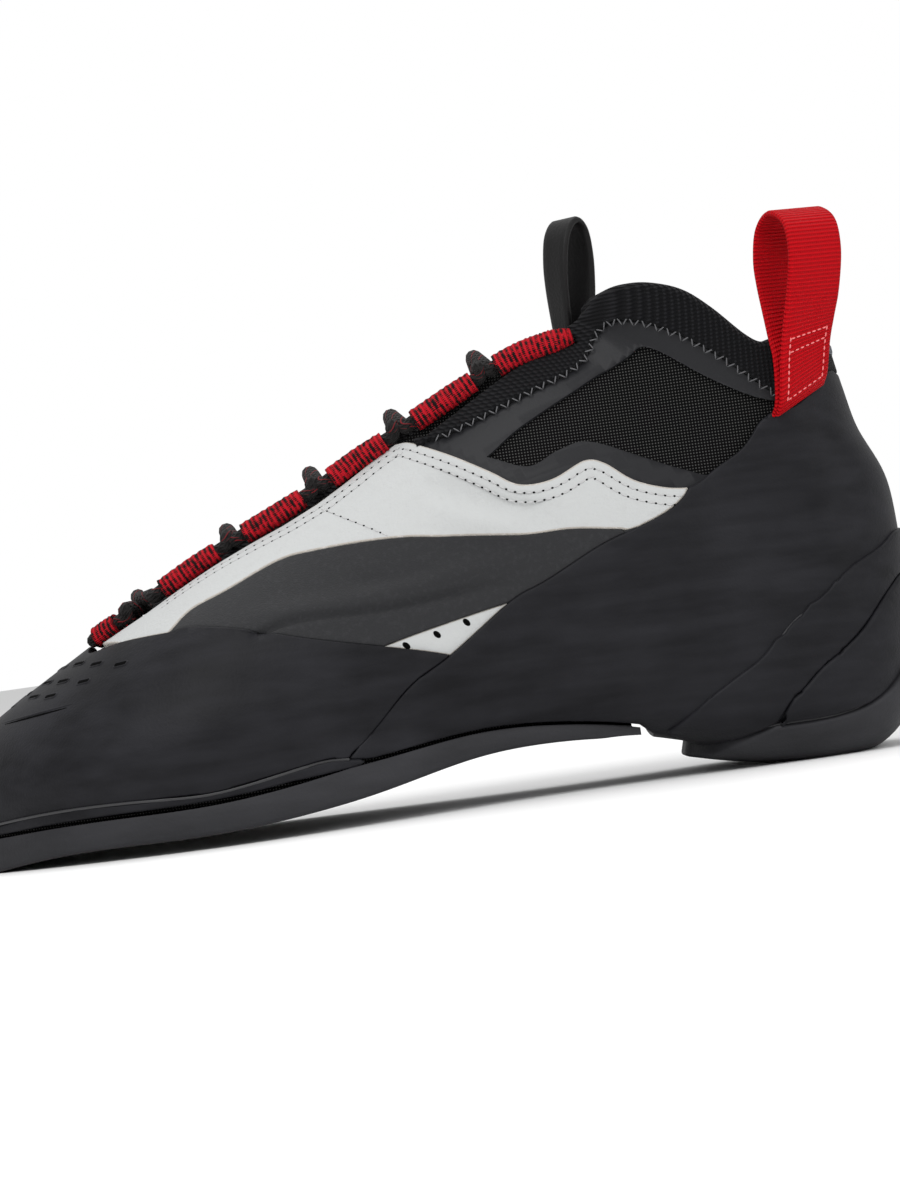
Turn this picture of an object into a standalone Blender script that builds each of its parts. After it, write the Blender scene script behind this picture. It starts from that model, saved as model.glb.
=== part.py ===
"""Left climbing shoe, standing empty on its sole.

Frame: the toe points along -X, +Z is up, the outer (little toe) side is -Y.
The origin is the heel's flat spot on the floor.  Units are metres.
"""
import math

import bmesh
import bpy
import numpy as np

# Driving dimensions
LENGTH = 0.2542
HEEL_BACK = 0.0262
BALL_WIDTH = 0.0880
HEEL_WIDTH = 0.0592
COLLAR_HEIGHT = 0.1190
HEEL_HEIGHT = 0.1005
ARCH_RISE = 0.0113
TIP_RISE = 0.0095
WALL = 0.0020
OUTSOLE = 0.0042
OUTSOLE_END = 0.0016
OUTSOLE_BEVEL = 0.0012
OUTSOLE_LIP = 0.0008
HEEL_SOLE = 0.0021
HEEL_SOLE_EDGE = 0.0012
TOE_RUBBER = 0.0018
RAND = 0.0021
HEEL_RUBBER = 0.0018
HEEL_STEP_1 = 0.0006
HEEL_STEP_2 = 0.0012
LEATHER = 0.0013
BAND = 0.0012
FILM = 0.0007
KNIT = 0.0018
TONGUE = 0.0026
INSOLE = 0.0022
THROAT_WIDTH = 0.0170
TONGUE_WIDTH = 0.0440
TUNNEL_WIDTH = 0.0064
TUNNEL_HEIGHT = 0.0054
TUNNEL_WALL = 0.0007
LACE = 0.0038
TAPE_WIDTH = 0.0150
TAPE = 0.0015
HEEL_LOOP_HEIGHT = 0.0470
HEEL_LOOP_GAP = 0.0165
TONGUE_LOOP_WIDTH = 0.0120
TONGUE_LOOP_HEIGHT = 0.0270
TONGUE_LOOP_GAP = 0.0100
TONGUE_LOOP_TAPE = 0.0018
GAP = 0.0003
SEAM = 0.0002
FLAT_BITE = 0.0004
HEEL_BITE = 0.0012

BED = OUTSOLE + GAP
SKIN = GAP + TOE_RUBBER
LAST_LENGTH = LENGTH - 2 * SKIN
LAST_BALL = BALL_WIDTH - 2 * SKIN
LAST_HEEL = HEEL_WIDTH - 2 * SKIN

# The last: a row for each fan section, counted from the toe tip over the sole and up the heel.
# x are shares of the length from the toe; tip, arch, back and over are shares of TIP_RISE,
# ARCH_RISE, HEEL_HEIGHT and COLLAR_HEIGHT; widths are shares of the ball or heel width.
# mid is the height share of the widest line, tuck how far the side draws in below it, low the
# share of that height where the sole's corner starts, box and high how square the two arcs are.
SECTIONS = (
    # name, sole x, tip, arch, back, top x, over, spine, of, outer, inner, mid, tuck, low, box, high
    ("tip", 0.000, 1.00, 0.00, 0.000, 0.000, 0.000, 0.175, "ball", 0.000, 0.000, 0.46, 0.00, 0.80, 2.4, 2.00),
    ("nail", 0.010, 0.37, 0.00, 0.000, 0.013, 0.103, 0.169, "ball", 0.110, 0.095, 0.45, 0.00, 0.75, 2.6, 2.00),
    ("toes", 0.038, 0.00, 0.00, 0.000, 0.048, 0.193, 0.154, "ball", 0.210, 0.196, 0.42, 0.02, 0.70, 3.0, 2.00),
    ("toe_root", 0.080, 0.00, 0.00, 0.000, 0.086, 0.252, 0.135, "ball", 0.316, 0.281, 0.38, 0.03, 0.60, 3.5, 2.00),
    ("toe_box", 0.140, 0.00, 0.19, 0.000, 0.134, 0.315, 0.108, "ball", 0.436, 0.350, 0.34, 0.03, 0.50, 3.8, 1.95),
    ("knuckle", 0.216, 0.00, 0.28, 0.000, 0.194, 0.388, 0.083, "ball", 0.529, 0.396, 0.31, 0.03, 0.45, 4.0, 1.90),
    ("ball", 0.304, 0.00, 0.29, 0.000, 0.260, 0.469, 0.060, "ball", 0.581, 0.419, 0.29, 0.03, 0.42, 4.0, 1.90),
    ("instep", 0.388, 0.00, 0.42, 0.000, 0.330, 0.553, 0.045, "ball", 0.564, 0.388, 0.28, 0.04, 0.40, 4.0, 1.90),
    ("waist", 0.476, 0.00, 0.68, 0.000, 0.402, 0.633, 0.033, "ball", 0.496, 0.341, 0.27, 0.06, 0.42, 3.8, 1.85),
    ("shank", 0.564, 0.00, 0.98, 0.000, 0.474, 0.710, 0.023, "ball", 0.426, 0.303, 0.26, 0.08, 0.46, 3.5, 1.95),
    ("arch", 0.648, 0.00, 0.96, 0.000, 0.542, 0.787, 0.015, "heel", 0.560, 0.425, 0.25, 0.08, 0.50, 3.3, 2.15),
    ("seat_front", 0.728, 0.00, 0.72, 0.000, 0.602, 0.854, 0.009, "heel", 0.538, 0.447, 0.24, 0.06, 0.50, 3.1, 2.30),
    ("seat", 0.804, 0.00, 0.28, 0.000, 0.648, 0.906, 0.004, "heel", 0.527, 0.484, 0.23, 0.04, 0.50, 3.0, 2.35),
    ("heel", 0.888, 0.00, 0.00, 0.000, 0.676, 0.932, 0.000, "heel", 0.509, 0.491, 0.23, 0.03, 0.48, 3.0, 2.35),
    ("heel_edge", 0.948, 0.00, 0.00, 0.013, 0.694, 0.948, 0.000, "heel", 0.473, 0.462, 0.25, 0.02, 0.56, 2.8, 2.35),
    ("heel_low", 0.982, 0.00, 0.00, 0.115, 0.704, 0.955, 0.000, "heel", 0.447, 0.440, 0.28, 0.01, 0.70, 2.4, 2.35),
    ("heel_back", 0.994, 0.00, 0.00, 0.255, 0.710, 0.961, 0.000, "heel", 0.429, 0.422, 0.32, 0.01, 0.80, 2.1, 2.35),
    ("bulb", 0.998, 0.00, 0.00, 0.401, 0.715, 0.966, 0.000, "heel", 0.415, 0.407, 0.36, 0.00, 0.85, 2.0, 2.30),
    ("bulb_top", 0.997, 0.00, 0.00, 0.560, 0.718, 0.970, 0.000, "heel", 0.404, 0.398, 0.39, 0.00, 0.85, 2.0, 2.30),
    ("hollow", 0.990, 0.00, 0.00, 0.660, 0.721, 0.976, 0.000, "heel", 0.400, 0.395, 0.42, 0.00, 0.85, 2.0, 2.30),
    ("achilles", 0.974, 0.00, 0.00, 0.755, 0.724, 0.984, 0.000, "heel", 0.404, 0.398, 0.44, 0.00, 0.85, 2.0, 2.30),
    ("cuff", 0.965, 0.00, 0.00, 0.854, 0.727, 1.000, 0.000, "heel", 0.411, 0.405, 0.46, 0.00, 0.85, 2.0, 2.30),
    ("rim", 0.957, 0.00, 0.00, 0.969, 0.730, 1.024, 0.000, "heel", 0.418, 0.413, 0.47, 0.00, 0.85, 2.0, 2.30),
    ("above", 0.953, 0.00, 0.00, 1.083, 0.733, 1.070, 0.000, "heel", 0.422, 0.416, 0.48, 0.00, 0.85, 2.0, 2.30),
)
SIDE_TOP = 0.50
SIDE_LOW = 0.60

# The net that every panel is cut along: stations, and places round the section from the ridge
# (0) over the widest line (SIDE_TOP) and the sole's corner (SIDE_LOW) to the sole's middle (1).
STATIONS = (0, 0.5, 1, 2, 3, 4, 5, 6, 7, 8.3, 9.6, 10.8, 12, 13, 13.8, 14.6, 15.6, 16.8, 18.2, 19.7, 21.2, 23)
ROUND = tuple(SIDE_TOP * k / 4 for k in range(4)) + (SIDE_TOP, SIDE_LOW, 0.69, 0.82, 1.0)

# Outlines on one side of the shoe, as (station, height share of that section).
RIM = ((19.6, 0.97), (20.9, 0.95), (21.85, 0.89), (22.3, 0.80), (22.45, 0.70), (22.4, 0.60), (22.05, 0.50),
       (21.5, 0.39), (21.4, 0.32), (21.7, 0.24), (22.0, 0.10), (22.05, 0.0))
LEATHER_WAVE = ((9.75, 0.925), (10.05, 0.895), (10.3, 0.85), (10.7, 0.76), (11.0, 0.70), (11.5, 0.685), (12.2, 0.705),
                (12.55, 0.69), (12.9, 0.64), (13.4, 0.61), (14.05, 0.588))
LEATHER_LOW = ((14.05, 0.588), (12.45, 0.533), (12.1, 0.535), (11.4, 0.555), (10.65, 0.575), (9.8, 0.64),
               (9.25, 0.70), (8.3, 0.795), (7.8, 0.835), (7.1, 0.84), (6.6, 0.85), (6.25, 0.815))
TOE_TOP = ((5.1, 1.0), (5.15, 0.955), (5.6, 0.905), (6.0, 0.85), (6.25, 0.815))
TOE_BACK = ((6.25, 0.815), (6.55, 0.785), (7.2, 0.655), (7.8, 0.53), (8.5, 0.405), (9.15, 0.30))
BAND_LOW = ((8.5, 0.405), (9.3, 0.40), (10.1, 0.405))
HEEL_FRONT = ((7.65, 0.085), (8.45, 0.235), (9.15, 0.30), (10.1, 0.405), (10.7, 0.44), (11.65, 0.50),
              (12.45, 0.533), (14.05, 0.588))
HEEL_TOP = ((14.05, 0.588), (15.25, 0.565), (16.65, 0.50), (18.0, 0.425), (19.1, 0.34), (19.65, 0.265),
            (21.3, 0.075), (21.5, 0.0))
RAND_TOP = ((0.32, 0.0), (0.62, 0.16), (1.0, 0.24), (2.0, 0.28), (3.4, 0.22), (4.3, 0.178), (5.3, 0.134),
            (6.1, 0.10), (7.0, 0.106), (7.4, 0.104), (7.65, 0.085))
WINDOW_TOP = ((10.75, 0.80), (11.7, 0.835), (14.3, 0.868), (17.6, 0.815), (18.9, 0.75), (18.8, 0.60),
              (19.0, 0.46), (19.5, 0.33))
WINDOW_LOW = ((10.75, 0.80), (11.25, 0.735), (11.85, 0.745), (12.5, 0.745), (13.35, 0.69), (14.35, 0.62),
              (14.9, 0.575), (15.7, 0.545), (17.1, 0.475), (18.9, 0.36), (19.5, 0.33))
KNIT_LOW = ((9.75, 0.925), (10.4, 0.90), (11.5, 0.89), (13.0, 0.895), (16.0, 0.92), (19.0, 0.90), (20.2, 0.86), (20.75, 0.78),
            (20.85, 0.68), (20.7, 0.57), (20.4, 0.46), (20.0, 0.36), (19.65, 0.265))
HEEL_SOLE_FRONT = ((11.55, 0.0), (11.75, 0.006), (12.2, 0.03), (12.7, 0.058))
HEEL_SOLE_BACK = ((12.7, 0.058), (13.8, 0.062), (14.9, 0.040), (15.5, 0.012), (15.8, 0.0))
RIB_1 = ((11.35, 0.03), (11.85, 0.085), (12.75, 0.183), (14.1, 0.265), (15.85, 0.195), (17.2, 0.06), (17.6, 0.0))
RIB_2 = ((12.7, 0.058), (13.2, 0.115), (14.0, 0.158), (15.3, 0.13), (16.45, 0.06), (17.0, 0.0))

# The throat's half width as a share of THROAT_WIDTH / 2, by station.
THROAT = ((5.2, 0.55), (6.0, 1.0), (8.0, 1.0), (9.2, 0.80), (10.5, 0.85), (13.0, 0.95), (19.6, 0.95))

# Lace tunnels on each side of the throat, as (first station, last station).
TUNNELS = ((5.3, 5.62), (6.35, 7.15), (7.55, 8.38), (8.8, 9.62), (10.1, 11.15), (11.65, 13.3))

# Stations where a few things begin or end.
THROAT_TOE = 5.2
LACE_CLEAR = 0.14
KNIT_TOE = 9.75
FREE_KNIT = 13.6
OUTSOLE_BACK = 11.0
RAND_BACK = 7.65
RAND_TOE = ((2.0, 0.64), (1.6, 0.663), (1.2, 0.685), (1.0, 0.714), (0.85, 0.767), (0.7, 0.825), (0.62, 0.9),
            (0.59, 1.0))
LIP_PLACES = (0.64, 0.76)
LIP_STEP = 0.006
TONGUE_TAPE_STATIONS = (14.6, 18.8)


class Curve:
    """A smooth column of the section table, carried on past the toe tip by its mirror image."""

    MIRRORED = 3

    def __init__(self, values, beyond):
        self.knots = np.concatenate([beyond[self.MIRRORED:0:-1], values])
        count = len(self.knots)
        matrix = np.eye(count)
        right = np.zeros(count)
        for i in range(1, count - 1):
            matrix[i, i - 1:i + 2] = 1, 4, 1
            right[i] = 6 * (self.knots[i + 1] - 2 * self.knots[i] + self.knots[i - 1])
        self.bend = np.linalg.solve(matrix, right)

    def __call__(self, station):
        u = np.clip(np.asarray(station, float) + self.MIRRORED, 0, len(self.knots) - 1 - 1e-9)
        i = u.astype(int)
        f = u - i
        line = (1 - f) * self.knots[i] + f * self.knots[i + 1]
        return line + (((1 - f) ** 3 - (1 - f)) * self.bend[i] + (f ** 3 - f) * self.bend[i + 1]) / 6


class Last:
    """The upper's outer surface, by station along the foot and place round the section."""

    def __init__(self, rows):
        column = dict(zip(("sole_x", "tip", "arch", "back", "top_x", "over", "spine"),
                          (np.array([row[k] for row in rows], float) for k in range(1, 8))))
        girth = np.array([LAST_BALL if row[8] == "ball" else LAST_HEEL for row in rows])
        outer, inner, mid, tuck, low, box, high = (
            np.array([row[k] for row in rows], float) for k in range(9, 16))
        toe = HEEL_BACK - SKIN - LAST_LENGTH
        tip = BED + column["tip"] * TIP_RISE
        sole_x = toe + column["sole_x"] * LAST_LENGTH
        top_x = toe + column["top_x"] * LAST_LENGTH
        sole_z = tip + column["arch"] * ARCH_RISE + column["back"] * (HEEL_HEIGHT - BED)
        top_z = tip + column["over"] * (COLLAR_HEIGHT - BED)
        spine = column["spine"] * LAST_BALL
        self.sole_x, self.top_x = Curve(sole_x, top_x), Curve(top_x, sole_x)
        self.sole_z, self.top_z = Curve(sole_z, top_z), Curve(top_z, sole_z)
        self.spine = Curve(spine, spine)
        self.outer = Curve(outer * girth, -outer * girth)
        self.inner = Curve(inner * girth, -inner * girth)
        self.mid, self.tuck, self.low = Curve(mid, mid), Curve(tuck, tuck), Curve(low, low)
        self.box, self.high = Curve(box, box), Curve(high, high)

    def profile(self, station, place):
        """Sideways distance from the spine and height share; a negative place is the outer side."""
        place = (np.asarray(place, float) + 1) % 2 - 1
        station = np.asarray(station, float)
        a = np.abs(place)
        width = np.where(place < 0, self.outer(station), self.inner(station))
        mid, low, tuck = self.mid(station), self.low(station), self.tuck(station)
        turn = (1 - np.clip(a / SIDE_TOP, 0, 1)) * math.pi / 2
        power = 2 / self.high(station)
        y_top = width * np.cos(turn).clip(0) ** power
        h_top = mid + (1 - mid) * np.sin(turn) ** power
        q = np.clip((a - SIDE_TOP) / (SIDE_LOW - SIDE_TOP), 0, 1)
        y_side = width * (1 - tuck * q * q * (3 - 2 * q))
        h_side = mid * (1 - q * (1 - low))
        turn = np.clip((a - SIDE_LOW) / (1 - SIDE_LOW), 0, 1) * math.pi / 2
        power = 2 / self.box(station)
        y_low = width * (1 - tuck) * np.cos(turn).clip(0) ** power
        h_low = mid * low * (1 - np.sin(turn) ** power)
        y = np.where(a < SIDE_TOP, y_top, np.where(a < SIDE_LOW, y_side, y_low))
        h = np.where(a < SIDE_TOP, h_top, np.where(a < SIDE_LOW, h_side, h_low))
        return np.where(place < 0, -y, y), h

    def point(self, station, place):
        y, h = self.profile(station, place)
        x = self.sole_x(station) * (1 - h) + self.top_x(station) * h
        z = self.sole_z(station) * (1 - h) + self.top_z(station) * h
        return np.stack([x, self.spine(station) + y, z], -1)

    def normal(self, station, place):
        station = np.maximum(np.asarray(station, float), 0.06)
        step = 0.02
        along = self.point(station + step, place) - self.point(station - step, place)
        around = self.point(station, np.asarray(place) + step) - self.point(station, np.asarray(place) - step)
        n = np.cross(along, around)
        return n / np.linalg.norm(n, axis=-1, keepdims=True)

    def place_at_height(self, station, height):
        """The place round the section at a height share, without its sign."""
        mid, low = float(self.mid(station)), float(self.low(station))
        if height >= mid:
            share = min(1.0, (height - mid) / (1 - mid)) ** (float(self.high(station)) / 2)
            return SIDE_TOP * (1 - math.asin(share) / (math.pi / 2))
        if height >= mid * low:
            return SIDE_TOP + (SIDE_LOW - SIDE_TOP) * (1 - height / mid) / (1 - low)
        share = min(1.0, 1 - max(height, 0) / (mid * low)) ** (float(self.box(station)) / 2)
        return SIDE_LOW + (1 - SIDE_LOW) * math.asin(share) / (math.pi / 2)

    def place_at_width(self, station, width, side):
        """The place above the widest line that lies at a distance from the ridge."""
        girth = float((self.outer if side < 0 else self.inner)(station))
        share = min(1.0, max(0.0, width / girth)) ** (float(self.high(station)) / 2)
        return side * SIDE_TOP * (1 - math.acos(share) / (math.pi / 2))


LAST = Last(SECTIONS)


class Net:
    """The last's surface as flat triangles between the stations and the places of ROUND."""

    def __init__(self, last):
        self.along = len(STATIONS)
        self.half = len(ROUND) - 1
        places = list(ROUND) + [2 - p for p in reversed(ROUND[1:-1])]
        s, r = np.meshgrid(np.array(STATIONS, float), np.array(places), indexing="ij")
        self.points = last.point(s, r)
        self.normals = last.normal(s, r)

    def cell(self, station, place):
        """Net coordinates of a station and a signed or unwrapped place."""
        i = float(np.interp(station, STATIONS, range(self.along)))
        turns, rest = (1, 2 - place) if place > 1 else (0, abs(place))
        j = float(np.interp(rest, ROUND, range(self.half + 1)))
        if turns:
            return i, 2 * self.half - j
        return i, math.copysign(j, place)

    def real(self, i, j):
        """Station and place of net coordinates."""
        station = float(np.interp(i, range(self.along), STATIONS))
        j = (j + self.half) % (2 * self.half) - self.half
        return station, math.copysign(float(np.interp(abs(j), range(self.half + 1), ROUND)), j)

    def lift(self, i, j, height):
        """Point over the net's flat triangles, at a height along their blended normals."""
        i0 = min(int(i + 1e-9), self.along - 2)
        j0 = math.floor(j + 1e-9)
        f, g = i - i0, j - j0
        round_count = 2 * self.half
        corners = ((i0, j0, 1 - max(f, g)), (i0 + 1, j0 + 1, min(f, g)))
        third = (i0 + 1, j0, f - g) if f >= g else (i0, j0 + 1, g - f)
        place = np.zeros(3)
        for a, b, share in corners + (third,):
            place += share * (self.points[a, b % round_count] + height * self.normals[a, b % round_count])
        return place


NET = Net(LAST)


def smooth(outline, steps=2):
    """A soft line through an outline's points, with a few points between each pair."""
    points = [np.array(p, float) for p in outline]
    ends = [2 * points[0] - points[1]] + points + [2 * points[-1] - points[-2]]
    line = []
    for a, b, c, d in zip(ends, ends[1:], ends[2:], ends[3:]):
        for k in range(steps):
            f = k / steps
            line.append(tuple(0.5 * (2 * b + (c - a) * f + (2 * a - 5 * b + 4 * c - d) * f * f
                                     + (3 * b - a - 3 * c + d) * f ** 3)))
    return line + [tuple(points[-1])]


def side_line(outline, side):
    """An outline's (station, height) pairs as (station, place) pairs, with one where it meets the net."""
    steps = 12 if len(outline) > 2 else 1
    fine = [(float(s), side * LAST.place_at_height(s, h)) for s, h in smooth(outline, steps)]
    cells = [NET.cell(s, p) for s, p in fine]
    line = [fine[0]]
    for k in range(1, len(fine)):
        a, b = cells[k - 1], cells[k]
        near = min(k % steps, (steps - k) % steps)
        if steps > 1 and near > 1:
            for u, v in ((a[0], b[0]), (a[1], b[1]), (a[0] - a[1], b[0] - b[1])):
                if math.floor(u) != math.floor(v):
                    f = (max(math.floor(u), math.floor(v)) - u) / (v - u)
                    line.append(NET.real(a[0] + (b[0] - a[0]) * f, a[1] + (b[1] - a[1]) * f))
                    break
        if k % steps == 0:
            line.append(fine[k])
    return line


def stretch(outline, side, first, last):
    """The part of an outline's line between two of its own points, given by their numbers."""
    line = side_line(outline, side)
    ends = [(outline[n][0], side * LAST.place_at_height(*outline[n])) for n in (first, last)]
    a, b = (min(range(len(line)), key=lambda k: math.dist(line[k], end)) for end in ends)
    return line[a:b + 1] if a < b else line[b:a + 1][::-1]


def unwrapped(line):
    """The same places counted on through the sole's middle, 1, to the outer side, 2."""
    return [(s, p if p > 0 else p + 2) for s, p in line]


def throat_half(station):
    """Half the throat's width at a station."""
    return THROAT_WIDTH / 2 * float(np.interp(station, *zip(*THROAT)))


def throat_edge(stations, side, beyond=0.0):
    """The throat's edge on one side, or a line a distance outside it."""
    return [(s, LAST.place_at_width(s, throat_half(s) + beyond, side)) for s in stations]


def inset(corners, seams, distance):
    """Draws a pattern's corners in by a distance on the shoe, but not across its seams."""
    real = [NET.real(i, j) for i, j in corners]
    points = [LAST.point(s, p) for s, p in real]
    count = len(corners)
    area = sum(corners[k - 1][0] * corners[k][1] - corners[k][0] * corners[k - 1][1] for k in range(count))
    turn = 1.0 if area > 0 else -1.0
    moved = []
    for k, (i, j) in enumerate(corners):
        push = np.zeros(3)
        normal = LAST.normal(*real[k])
        for a, b in ((k - 1, k), (k, (k + 1) % count)):
            if seams(corners[a]) and seams(corners[b]):
                continue
            edge = points[b] - points[a]
            size = np.linalg.norm(edge)
            if size > 1e-6:
                push += turn * np.cross(normal, edge / size)
        size = np.linalg.norm(push)
        if size < 1e-6:
            moved.append((i, j))
            continue
        push *= distance * min(2.0, 2.0 / size) / size
        step = 0.05
        base = NET.lift(i, j, 0)
        di = 1.0 if i < NET.along - 1.2 else -1.0
        along = (NET.lift(i + di * step, j, 0) - base) / (di * step)
        around = (NET.lift(i, j + step, 0) - base) / step
        answer = np.linalg.lstsq(np.stack([along, around], 1), push, rcond=None)[0]
        shift = [float(np.clip(v, -0.35, 0.35)) for v in answer]
        if seams((1, j)):
            shift = [math.copysign(distance / np.linalg.norm(along), shift[0]), 0.0]
        moved.append((i if i == 0 else max(0.02, i + shift[0]), j + shift[1]))
    return moved


def material(name, colour, roughness):
    finish = bpy.data.materials.new(name)
    finish.use_nodes = True
    shader = finish.node_tree.nodes["Principled BSDF"]
    shader.inputs["Base Color"].default_value = (*colour, 1.0)
    shader.inputs["Roughness"].default_value = roughness
    return finish


def add(name, bm, finish):
    bmesh.ops.recalc_face_normals(bm, faces=bm.faces)
    if bm.calc_volume(signed=True) < 0:
        bmesh.ops.reverse_faces(bm, faces=bm.faces)
    mesh = bpy.data.meshes.new(name)
    bm.to_mesh(mesh)
    bm.free()
    mesh.materials.append(finish)
    mesh.shade_smooth()
    mesh.set_sharp_from_angle(angle=math.radians(40))
    thing = bpy.data.objects.new(name, mesh)
    bpy.context.scene.collection.objects.link(thing)
    return thing


def panel(name, places, low, high, finish, seam=SEAM, beside=()):
    """A sheet cut to an outline of (station, place) pairs and lasted between two heights.

    beside is a second outline that shares edges with the first, for a sheet with a hole.
    """
    def on_seam(corner):
        return corner[0] == 0 or abs(abs(corner[1]) - NET.half) < 1e-9

    bm = bmesh.new()
    wrapped = bm.verts.layers.float_vector.new("flat")
    corners = []
    for outline in (places, beside):
        patch = [NET.cell(s, p) for s, p in outline]
        whole = all(abs(j) <= NET.half + 1e-9 for _, j in patch)
        if seam:
            patch = inset(patch, on_seam if whole else (lambda corner: False), seam)
        area = sum(patch[k - 1][0] * patch[k][1] - patch[k][0] * patch[k - 1][1] for k in range(len(patch)))
        if area < 0:
            patch.reverse()
        if patch:
            bm.faces.new([bm.verts.new((i, j, 0)) for i, j in patch])
        corners += patch
    low_i, high_i = min(c[0] for c in corners), max(c[0] for c in corners)
    low_j, high_j = min(c[1] for c in corners), max(c[1] for c in corners)
    cuts = [((k, 0, 0), (1, 0, 0)) for k in range(math.ceil(low_i), math.floor(high_i) + 1)]
    cuts += [((0, k, 0), (0, 1, 0)) for k in range(math.ceil(low_j), math.floor(high_j) + 1)]
    cuts += [((k, 0, 0), (1, -1, 0)) for k in range(math.floor(low_i - high_j), math.ceil(high_i - low_j) + 1)]
    for centre, across in cuts:
        bmesh.ops.bisect_plane(bm, geom=bm.verts[:] + bm.edges[:] + bm.faces[:], dist=1e-6,
                               plane_co=centre, plane_no=across)
    for v in bm.verts:
        v[wrapped] = v.co
    bmesh.ops.triangulate(bm, faces=bm.faces)
    lows = low if callable(low) else (lambda s, p: low)
    highs = high if callable(high) else (lambda s, p: high)
    for v in bm.verts:
        i, j, _ = v[wrapped]
        v.co = NET.lift(i, j, lows(*NET.real(i, j)))
    bmesh.ops.remove_doubles(bm, verts=bm.verts, dist=1e-6)
    top = bmesh.ops.extrude_face_region(bm, geom=bm.faces[:], use_keep_orig=True)
    for v in (e for e in top["geom"] if isinstance(e, bmesh.types.BMVert)):
        i, j, _ = v[wrapped]
        v.co = NET.lift(i, j, highs(*NET.real(i, j)))
    return add(name, bm, finish)


def loft(name, rings, finish, closed=False):
    """Joins rings of equal count; the ends are capped unless the rings close on themselves."""
    bm = bmesh.new()
    loops = [[bm.verts.new(p) for p in ring] for ring in rings]
    count = len(rings[0])
    pairs = list(zip(loops, loops[1:])) + ([(loops[-1], loops[0])] if closed else [])
    for a, b in pairs:
        for k in range(count):
            bm.faces.new((a[k], a[(k + 1) % count], b[(k + 1) % count], b[k]))
    if not closed:
        bm.faces.new(loops[0][::-1])
        bm.faces.new(loops[-1])
    return add(name, bm, finish)


def low_place(station):
    """The place where the outsole's edge meets the rubber above it."""
    return float(np.interp(station, (RAND_BACK, OUTSOLE_BACK), LIP_PLACES))


def across_ridge(half):
    """A closed outline over the ridge from its inner half, whose places run from 1 to 0."""
    return half + [(s, -p) for s, p in reversed(half) if p != 0.0]


def upper():
    """One hollow wall: open at the throat and collar, and underneath over the sole."""
    throat = [(THROAT_TOE, 0.0)]
    throat += throat_edge((THROAT_TOE + 0.05, 5.6, 6, 7, 8, 9, 10, 11, 12, 13, 15, 17), 1)
    opening = [(14.0, 1.0), (13.5, 0.88), (13.0, 0.85), (11.0, 0.82), (9.0, 0.80), (6.0, 0.79), (4.0, 0.80),
               (2.8, 0.84), (2.2, 0.90), (1.9, 1.0)]
    half = throat + side_line(RIM, 1) + opening + [(0.0, 1.0)]
    return panel("upper", across_ridge(half), -WALL, 0.0, FABRIC, 0.0)


def toe_rubber():
    """Thin rubber over the toes, above the rand."""
    half = [(0.0, 1.0)] + side_line(RAND_TOP, 1) + stretch(HEEL_FRONT, 1, 0, 2)[1:]
    half += stretch(TOE_BACK, 1, 5, 0)[1:] + stretch(TOE_TOP, 1, 4, 0)[1:]
    return panel("toe_rubber", across_ridge(half), GAP, GAP + TOE_RUBBER, RUBBER)


def rand():
    """The strip round the front of the foot, just above the outsole."""
    low = [(s, low_place(s)) for s in (RAND_BACK + 0.2, 7, 6, 5, 4, 3)]
    low += list(RAND_TOE)
    low += [(s, 2 - p) for s, p in reversed(low[:-1])]
    outline = low + unwrapped(side_line(RAND_TOP, -1))[::-1] + side_line(RAND_TOP, 1)[1:]
    return panel("rand", outline, GAP, GAP + RAND, RUBBER)


def heel_rubber():
    """The tensioned rubber that wraps the heel and runs forward under the arch."""
    front = side_line(HEEL_FRONT, 1)[:-1] + side_line(HEEL_TOP, 1)
    low = [(OUTSOLE_BACK + 0.12, 1.0), (OUTSOLE_BACK + 0.12, 0.85), (OUTSOLE_BACK, low_place(OUTSOLE_BACK))]
    low += [(s, low_place(s)) for s in (10.8, 9.6, 8.3, RAND_BACK + 0.25)]
    half = front + [(s, 2 - p) for s, p in reversed(front[:-1])]
    outline = half + [(s, 2 - p) for s, p in reversed(low)] + low[1:]
    return panel("heel_rubber", outline, GAP, GAP + HEEL_RUBBER, RUBBER)


def heel_layer(name, high_line, low_line, thickness):
    """A further layer over the heel rubber, between two lines that both cross the heel's back."""
    high = high_line + [(s, 2 - p) for s, p in reversed(high_line[:-1])]
    low = low_line + [(s, 2 - p) for s, p in reversed(low_line[:-1])]
    base = 2.4 * GAP + HEEL_RUBBER
    return panel(name, high + low[::-1], base, base + thickness, RUBBER)


def heel_sole():
    """The heel's cup of sole rubber, flattened where it stands."""
    half = side_line(HEEL_SOLE_FRONT, 1)[:-1] + side_line(HEEL_SOLE_BACK, 1)
    outline = half + [(s, 2 - p) for s, p in reversed(half[1:-1])]
    base = 2.4 * GAP + HEEL_RUBBER

    def outer_face(station, place):
        share = min(1.0, max(0.0, (abs(place) - 0.72) / 0.12))
        return base + HEEL_SOLE_EDGE + (HEEL_SOLE - HEEL_SOLE_EDGE + HEEL_BITE) * share

    thing = panel("heel_sole", outline, base, outer_face, SOLE)
    bm = bmesh.new()
    bm.from_mesh(thing.data)
    cut = bmesh.ops.bisect_plane(bm, geom=bm.verts[:] + bm.edges[:] + bm.faces[:], dist=1e-7,
                                 plane_co=(0, 0, 0), plane_no=(0, 0, -1), clear_outer=True)
    rim = [e for e in cut["geom_cut"] if isinstance(e, bmesh.types.BMEdge)]
    bmesh.ops.holes_fill(bm, edges=rim, sides=0)
    bm.to_mesh(thing.data)
    bm.free()
    thing.data.set_sharp_from_angle(angle=math.radians(40))
    return thing


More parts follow.
